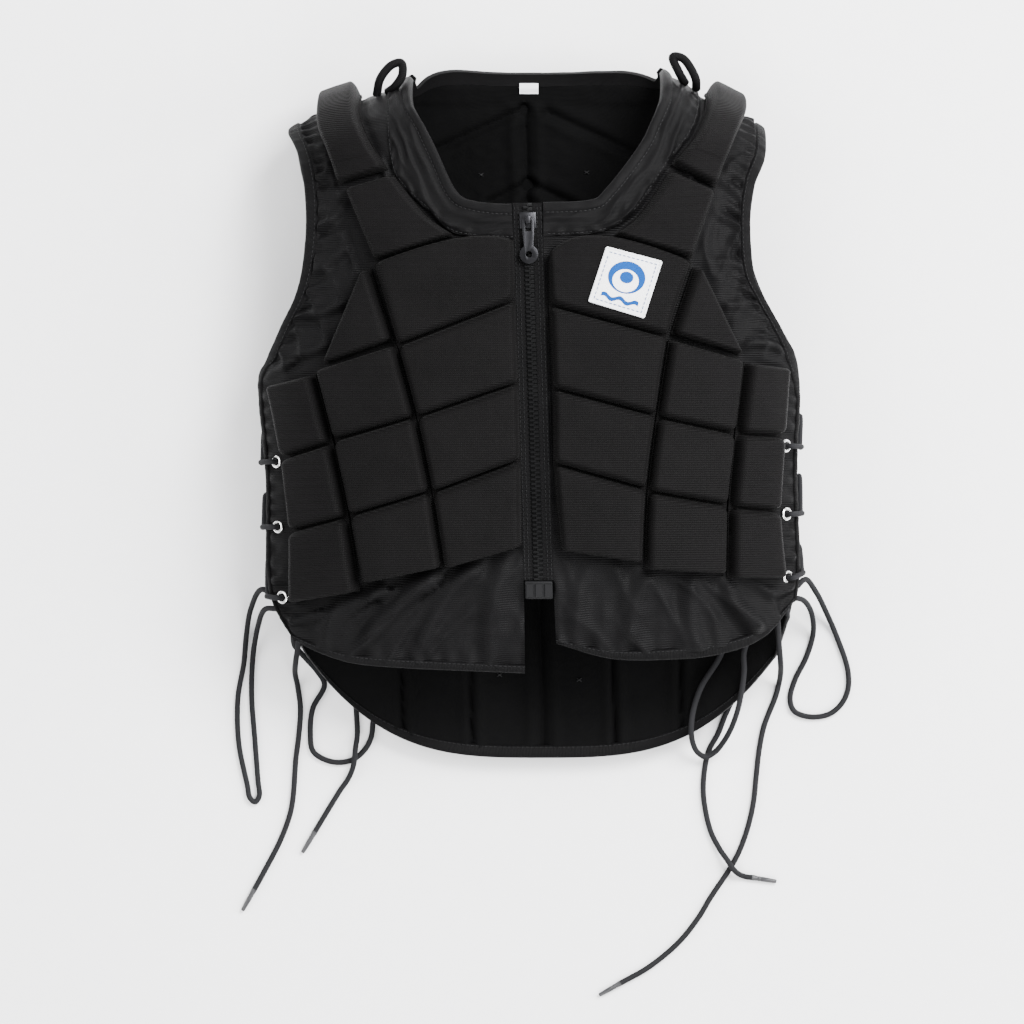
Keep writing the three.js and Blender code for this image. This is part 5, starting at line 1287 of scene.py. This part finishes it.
class VEST_OT_bindings(bpy.types.Operator):
    """Tapes bound over the hems, the laced sides and the armholes, with their stitching"""

    bl_idname = "vest.bindings"
    bl_label = "Bindings"

    def execute(self, context):
        to = context.scene.vest_cloth
        for seed, side in enumerate(FRONT_ROWS):
            place = shell_place(side)
            u = np.linspace(0, 1, 110)
            lower, sewn, upper = (np.stack(place(u, np.full_like(u, row)), -1) for row in HEM_ROWS)
            tape(f"front_{side}_hem_binding", upper, lower, 0.3, 60 + seed)
            sewn_line(f"front_{side}_hem_stitches", sewn, TAPE_HIGH - 0.25, to)

            def back_place(u, v):
                return back_spot(u if side == "left" else 1 - u, v)

            v = even(lambda a, b: front_spot(side, a, b), 1, 0, FRONT_TOP, 2)
            width = binding_width(v, FRONT_ARMHOLE_ROW) / front_length(side, v)
            w = even(back_place, 1, 0, BACK_TOP + 0.97, 2)[::-1]
            inset = binding_width(w, BACK_ARMHOLE_ROW) / back_width(w)

            def line(share):
                front = front_spot(side, 1 - share * width, v)
                return np.concatenate([np.stack(front, -1), np.stack(back_place(1 - share * inset, w), -1)])

            tape(f"{side}_edge_binding", line(1), line(0), 0.35, 64 + seed)
            start = int(np.searchsorted(v, 3.6))
            sewn_line(f"{side}_edge_stitches", line(0.84)[start : len(v)], TAPE_HIGH - 0.3, to)
        edge = (PIPING_WIDTH + 0.4) / back_width(0)
        u = edge + np.linspace(0, 1, 160) * (1 - 2 * edge)
        lower, sewn, upper = (np.stack(back_spot(u, np.full_like(u, row)), -1) for row in HEM_ROWS)
        tape("back_hem_binding", upper, lower, 0.3, 70)
        sewn_line("back_hem_stitches", sewn, TAPE_LOW + 0.25, to)
        return {"FINISHED"}


def neck_lines():
    """The neck band's free and sewn edges as places on the cloth, from the right front round to the left."""

    def past_fold(x, past):
        return x, float(over_fold(x, past))

    halves = []
    for side in ("right", "left"):
        near = LINES[side][0]
        last = out(NECK_FREE[side][-1][0])
        free = [tuple(front_place(x, y)) for x, y in NECK_FREE[side]]
        free += [past_fold(last, 0), past_fold(last, SHOULDER_SEAM_PAST / 2)]
        sewn = [tuple(near[NECK_ROW + k]) for k in range(len(free) - 1)]
        sewn.append(past_fold(sewn[-1][0], SHOULDER_SEAM_PAST))
        halves.append((free, sewn))
    behind_free, behind_sewn = [], []
    for share in BACK_LINES:
        limit = abs(NECK_FREE["right" if share < 0 else "left"][-1][0]) - 0.01
        inner = out(math.copysign(min(abs(share), limit), share))
        reach = (NECK_EDGE_PAST - SHOULDER_SEAM_PAST / 2) * table(BACK_START, share)
        behind_free.append(past_fold(inner, SHOULDER_SEAM_PAST / 2 + reach))
        behind_sewn.append(past_fold(out(share), back_start(out(share))))
    (right_free, right_sewn), (left_free, left_sewn) = halves
    return (
        np.array(right_free + behind_free + left_free[::-1]),
        np.array(right_sewn + behind_sewn + left_sewn[::-1]),
    )


class VEST_OT_neck(bpy.types.Operator):
    """The gathered neck band with its rolled free edge"""

    bl_idname = "vest.neck"
    bl_label = "Neck Band"

    def execute(self, context):
        to = context.scene.vest_cloth
        free, sewn = neck_lines()
        rows = np.linspace(0, len(free) - 1, 2400)
        line = along(sewn, rows)
        run = run_along(line)
        rows = np.interp(np.linspace(0, run[-1], round(run[-1] / 1.6)), run, rows)
        a, b = along(free, rows), along(sewn, rows)
        u = np.linspace(0, 1, 40)[None]
        x = a[:, :1] + (b[:, :1] - a[:, :1]) * u
        s = a[:, 1:] + (b[:, 1:] - a[:, 1:]) * u
        width = np.linalg.norm(b - a, axis=1)[:, None]
        middle = (a + b) / 2
        run = run_along(middle)[:, None]
        across = u * width
        strip = NECK_EDGE_WIDTH * 0.75
        rolled = 1.9 * np.sqrt(np.clip(1 - ((across - strip / 2) / (strip / 2)) ** 2, 0, 1))
        drift = 0.9 * crumple(run, run * 0, 75, 81) + 0.35 * crumple(run, across, 30, 82)
        phase = 2 * np.pi * (across - strip) / 11.5 + 1.6 * drift
        strength = np.clip(0.7 + 0.6 * crumple(run, across * 2, 60, 83), 0.1, 1.5)
        folds = strength * 1.7 * (0.5 + 0.5 * np.cos(phase + np.pi)) ** 1.6
        patchy = np.clip(crumple(run, run * 0, 80, 86) + 0.4, 0, 1)
        folds = folds + 1.1 * wrinkles(run, across, 16, 4, 6, 85) * patchy
        tucks = 0.9 * np.sin(2 * np.pi * run / 14 + 3 * drift) * bell(width - across, 5)
        inside = np.clip((across - strip) / 1.2, 0, 1) * np.clip((width - across) / 3, 0, 1)
        high = 1.1 + rolled * (across < strip) + inside * (folds + tucks)
        high = high + 0.25 * crumple(run, across, 14, 84)
        piece = make("neck_band", sheet_shape(x, s, -CLOTH + 0.1, high), "band", smooth_to=80)
        area = area_of(lifted(x, s, 0))
        sewn_line("neck_seam_stitches", a + (b - a) * (1 - 1.6 / width), 1.5, to)
        sewn_line("neck_edge_stitches", a + (b - a) * (strip / width), 1.4, to)
        return {"FINISHED"}


def blocks(origin, across, forward, upward, half, tall, chamfer):
    """Chamfered blocks: eight corners and four more inset at the top, for every origin."""
    signs = np.array([(-1, -1), (1, -1), (1, 1), (-1, 1)], float)
    rows = [
        origin[:, None]
        + across[:, None] * (signs[:, :1] * (half[0] - inset))
        + forward[:, None] * (signs[:, 1:] * (half[1] - inset))
        + upward[:, None] * level
        for inset, level in ((0.0, 0.0), (0.0, tall - chamfer), (chamfer, tall))
    ]
    points = np.concatenate(rows, axis=1)
    base = [[3, 2, 1, 0], [8, 9, 10, 11]]
    for low in (0, 4):
        for k in range(4):
            after = (k + 1) % 4
            base.append([low + k, low + after, low + 4 + after, low + 4 + k])
    faces = (np.array(base)[None] + 12 * np.arange(len(origin))[:, None, None]).reshape(-1, 4)
    return plain(points.reshape(-1, 3), faces)


def cad_copy(name, bevel, key, body="vest"):
    """A node's own shape, its faces merged flat and its edges rounded."""
    shape = bmesh.new()
    shape.from_mesh(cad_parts[name].data)
    bmesh.ops.remove_doubles(shape, verts=shape.verts, dist=1e-6)
    bmesh.ops.dissolve_limit(shape, angle_limit=math.radians(2), verts=shape.verts, edges=shape.edges)
    sharp = [edge for edge in shape.edges if edge.is_manifold and edge.calc_face_angle(0) > math.radians(25)]
    bmesh.ops.bevel(
        shape, geom=sharp, offset=bevel * MM, segments=3, affect="EDGES", clamp_overlap=True, profile=0.5
    )
    bmesh.ops.recalc_face_normals(shape, faces=shape.faces)
    mesh = bpy.data.meshes.new(f"{name} look")
    shape.to_mesh(mesh)
    shape.free()
    return placed(f"{name}_look", mesh, key, [name], 50, body)


class VEST_OT_zip(bpy.types.Operator):
    """Zip tapes, teeth, bottom box, slider and pull"""

    bl_idname = "vest.zip"
    bl_label = "Zip"

    def execute(self, context):
        to = context.scene.vest_cloth
        low, high = up(ZIP_BOTTOM) + ZIP_BOX_HEIGHT, up(ZIP_TOP)
        s = np.linspace(low, high, 160)[:, None]
        reach = np.array(ZIP_TAPE_STEPS)[None]
        tucked = (reach > ZIP_TAPE_HALF) * 1.0
        at_neck = np.clip((s - high + ZIP_NECK_START) / 5, 0, 1)
        for name, sign in (("right", -1), ("left", 1)):
            x, along_s = both(zip_x(s) + sign * (reach + (reach > 13) * ZIP_NECK_REACH * at_neck), s)
            level = 0.12 * crumple(x, along_s, 20, 90) + 0.25 * (reach > 8.3) - tucked
            make(f"zip_tape_{name}", sheet_shape(x, along_s, level - 1.5, level), "binding")
            for k, place in enumerate(ZIP_STITCH_LINES):
                line = np.stack([zip_x(s[:, 0]) + sign * place, s[:, 0]], -1)
                sewn_line(f"zip_{name}_stitches_{k + 1}", line, 0.35, to)
        x, along_s = both(zip_x(s) + np.array([-4.0, -1.2, 0.0, 1.2, 4.0])[None], s)
        ridge = np.array([-0.6, -0.1, 0.0, -0.1, -0.6])[None] + 0 * s
        teeth = [sheet_shape(x, along_s, -1.5, ridge)]
        for sign in (-1, 1):
            y = np.arange(low + (TOOTH_PITCH / 2 + 1.2 if sign > 0 else 1.2), high - 1, TOOTH_PITCH)
            tooth_x = zip_x(y) + sign * TOOTH_OUT
            origin = lifted(tooth_x, y, -TOOTH_SINK)
            upward = outward(tooth_x, y)
            forward = unit(lifted(zip_x(y + 1) + sign * TOOTH_OUT, y + 1, -TOOTH_SINK) - origin)
            across = np.cross(forward, upward)
            teeth.append(blocks(origin, across, forward, upward, (2.35, 1.05), 1.9, 0.4))
        make("zip_chain", joined(*teeth), "plastic", smooth_to=30)
        cad_copy("zip_box", 1.0, "box")
        y = np.full(3, up(ZIP_BOTTOM) + 7.0)
        block_x = zip_x(y) + np.array([-7.4, 0.0, 7.4])
        upward = outward(block_x, y)
        forward = np.cross(upward, [1.0, 0.0, 0.0])
        across = np.cross(forward, upward)
        ribs = blocks(lifted(block_x, y, 2.6), across, forward, upward, (2.9, 5.4), 1.5, 0.5)
        make("zip_box_blocks", ribs[:2], "box", replaces=(), smooth_to=30)
        cad_copy("zip_slider", 0.35, "grey_metal")
        cad_copy("zip_pull", 0.5, "grey_metal", body="pull")
        return {"FINISHED"}


def eyelet_spots(side):
    """Each eyelet's place on the front and on the back, with the place on the cloth's edge beside it."""
    spots = []
    for v, w in EYELETS[side]:
        front = front_spot(side, 1 - EYELET_INSET / front_length(side, v), v)
        inset = EYELET_INSET / back_width(w)
        back = back_spot(1 - inset if side == "left" else inset, w)
        back_edge = back_spot(1 if side == "left" else 0, w)
        spots.append(((front, front_spot(side, 1, v)), (back, back_edge)))
    return spots


def beyond(spot, edge, away, level):
    """A point past the cloth's edge beside an eyelet, at a level over the eyelet's face."""
    return cloth(*edge) + unit(cloth(*edge) - cloth(*spot)) * away + outward(*spot) * level


def eyelet(spot):
    """A metal ring: the eyelet's section turned round the cloth's normal at the spot."""
    centre, normal = cloth(*spot), outward(*spot)
    first = unit(np.cross(normal, [0, 1, 0]))
    round_it = spokes(first, np.cross(normal, first), circle(40))
    torus = centre + round_it[:, None] * EYELET_PROFILE[:, :1] + normal * EYELET_PROFILE[:, 1:]
    index = np.arange(torus[..., 0].size).reshape(torus.shape[:2])
    right = np.roll(index, -1, 0)
    faces = np.stack([index, right, np.roll(right, -1, 1), np.roll(index, -1, 1)], -1).reshape(-1, 4)
    return plain(torus.reshape(-1, 3), faces)


def knot(centre, radius):
    """A pulled-tight overhand knot: the trefoil (sin t + 2 sin 2t, cos t - 2 cos 2t, -1.5 sin 3t)."""
    t = np.linspace(0, 2 * np.pi, 90)
    curve = np.stack([np.sin(t) + 2 * np.sin(2 * t), np.cos(t) - 2 * np.cos(2 * t), -1.5 * np.sin(3 * t)], -1)
    return centre + curve * (radius / 3)


class VEST_OT_lacing(bpy.types.Operator):
    """Eyelets and the lacing cords through them, each with its knot"""

    bl_idname = "vest.lacing"
    bl_label = "Lacing"

    def execute(self, context):
        to = context.scene.vest_cords
        rings = []
        inner = -LACE_STAND - CLOTH
        for side in EYELETS:
            path = []
            for (front, edge), (back, back_edge) in eyelet_spots(side):
                path += [lifted(*back, level) for level in (inner, -CLOTH / 2, LACE_STAND)]
                path += [beyond(back, back_edge, 0, LACE_OVER), beyond(back, back_edge, LACE_ROUND, 0)]
                path += [beyond(front, edge, LACE_ROUND, 0), beyond(front, edge, 0, LACE_OVER)]
                path += [lifted(*front, level) for level in (LACE_STAND, -CLOTH / 2, inner)]
                rings += [eyelet(front), eyelet(back)]
            centre = np.array(KNOTS[side], float)
            path += [centre + [0, 3.75, KNOT_TOP], centre]
            routes = (path, knot(centre, KNOT_RADIUS))
            laced = [braided(smooth_route(route, 0.9), to, LACE_SQUEEZE) for route in routes]
            make(f"{side}_lacing", joined(*laced), "cord", smooth_to=80)
        names = [
            f"{panel}_{side}_eyelet_{k}" for side in EYELETS for panel in ("front", "back") for k in (1, 2, 3)
        ]
        make("eyelets", joined(*rings), "nickel", replaces=names, smooth_to=50)
        return {"FINISHED"}


class VEST_OT_trim(bpy.types.Operator):
    """Chest patch with its motif, neck tag and hanging loops"""

    bl_idname = "vest.trim"
    bl_label = "Trim"

    def execute(self, context):
        to = context.scene.vest_cloth
        a, b, c, d = (front_place(x, y) for x, y in PATCH_CORNERS)

        def on_patch(u, v):
            u, v = both(u, v)
            u, v = u[..., None], v[..., None]
            spot = (a * (1 - u) + b * u) * (1 - v) + (d * (1 - u) + c * u) * v
            return spot[..., 0], spot[..., 1]

        u, v = np.linspace(0, 1, 30)[None], np.linspace(0, 1, 36)[:, None]
        x, s = on_patch(u, v)
        level = PATCH_SEAT + PATCH_THICKNESS + 0.25 * crumple(x, s, 22, 95)
        piece = make("chest_patch", sheet_shape(x, s, level - PATCH_THICKNESS, level), "label")
        t = np.linspace(0, 1, 60)
        loop_u = np.concatenate([t, np.ones_like(t), 1 - t, np.zeros_like(t)])
        loop_v = np.concatenate([np.zeros_like(t), t, np.ones_like(t), 1 - t])
        path = lifted(*on_patch(loop_u, loop_v), PATCH_SEAT + 0.45)
        rim = tube(path, 0.85 + 0.12 * np.sin(np.arange(len(path)) * 2.1), 10)
        make("patch_border", rim, "label", replaces=())
        inner = on_patch(*(PATCH_INSET + (1 - 2 * PATCH_INSET) * place for place in (loop_u, loop_v)))
        sewn_line("patch_stitches", np.stack(inner, -1), PATCH_SEAT + 0.85, to, "motif")

        shapes = []
        angle = np.linspace(0, 2 * np.pi, 72)
        for radius, hole, sink in ((0.33, 0.235, 0.06), (0.12, 0.0, 0.0)):
            outer = on_patch(0.5 + radius * np.cos(angle), 0.42 + radius * 0.86 * np.sin(angle))
            inner = on_patch(0.5 + hole * np.cos(angle), 0.42 + sink + hole * 0.86 * np.sin(angle))
            shapes.append((np.stack(outer, -1), np.stack(inner, -1)))
        bar = np.linspace(0.16, 0.84, 60)
        swing = 0.03 * np.sin(bar * 22)
        shapes.append([np.stack(on_patch(bar, 0.83 + swing + k), -1) for k in (-0.035, 0.035)])
        bodies = []
        t = np.linspace(0, 1, 4)[:, None, None]
        for first, second in shapes:
            place = first * (1 - t) + second * t
            x, s = place[..., 0], place[..., 1]
            raised = PATCH_SEAT + 0.95 + 0.25 * crumple(x, s, 22, 95)
            bodies.append(sheet_shape(x, s, raised - 0.5, raised))
        make("patch_motif", joined(*bodies), "motif", replaces=())

        tag_x, tag_low, tag_high = TAG_PLACE
        u, v = both(np.linspace(-0.5, 0.5, 12)[None], np.linspace(0, 1, 12)[:, None])
        x = out(tag_x) + TAG_WIDTH * u
        s = on_back(x, up(tag_low + (tag_high - tag_low) * v))
        level = -CLOTH - 1.3 - 0.9 * np.sin(np.pi * v) ** 2
        make("neck_tag", sheet_shape(x, s, level - 0.6, level), "label")

        for side, route in HANG_LOOPS.items():
            path = [lifted(x, over_fold(x, -20.0), 1.2) + [0, y, z] for x, y, z in route]
            points, faces, uv = tube(smooth_route(path, 0.8), HANG_LOOP_RADIUS, 20)
            make(f"{side}_hang_loop", (points, faces, uv * [0.015, 1]), "binding")
        return {"FINISHED"}


class VEST_PT_panel(bpy.types.Panel):
    """Buttons and settings in the sidebar"""

    bl_idname = "VEST_PT_panel"
    bl_label = "Riding Vest"
    bl_space_type = "VIEW_3D"
    bl_region_type = "UI"
    bl_category = "Riding Vest"

    def draw(self, context):
        for settings in ("vest_stage", "vest_cords", "vest_cloth"):
            group = getattr(context.scene, settings)
            column = self.layout.column(align=True)
            for key in group.bl_rna.properties.keys():
                if key not in ("rna_type", "name"):
                    column.prop(group, key)
        for operator in OPERATORS:
            self.layout.operator(operator.bl_idname)


OPERATORS = (
    VEST_OT_stage, VEST_OT_cords, VEST_OT_fronts, VEST_OT_back, VEST_OT_pads, VEST_OT_bindings, VEST_OT_neck,
    VEST_OT_zip, VEST_OT_lacing, VEST_OT_trim,
)
SETTINGS = {"vest_stage": VEST_PG_stage, "vest_cords": VEST_PG_cords, "vest_cloth": VEST_PG_cloth}


def register():
    for group in SETTINGS.values():
        bpy.utils.register_class(group)
    for operator in OPERATORS:
        bpy.utils.register_class(operator)
    bpy.utils.register_class(VEST_PT_panel)
    for name, group in SETTINGS.items():
        setattr(bpy.types.Scene, name, PointerProperty(type=group))


def unregister():
    for name in SETTINGS:
        delattr(bpy.types.Scene, name)
    bpy.utils.unregister_class(VEST_PT_panel)
    for operator in reversed(OPERATORS):
        bpy.utils.unregister_class(operator)
    for group in SETTINGS.values():
        bpy.utils.unregister_class(group)


def main():
    register()
    for operator in OPERATORS:
        group, name = operator.bl_idname.split(".")
        getattr(getattr(bpy.ops, group), name)()


if __name__ == "__main__":
    main()
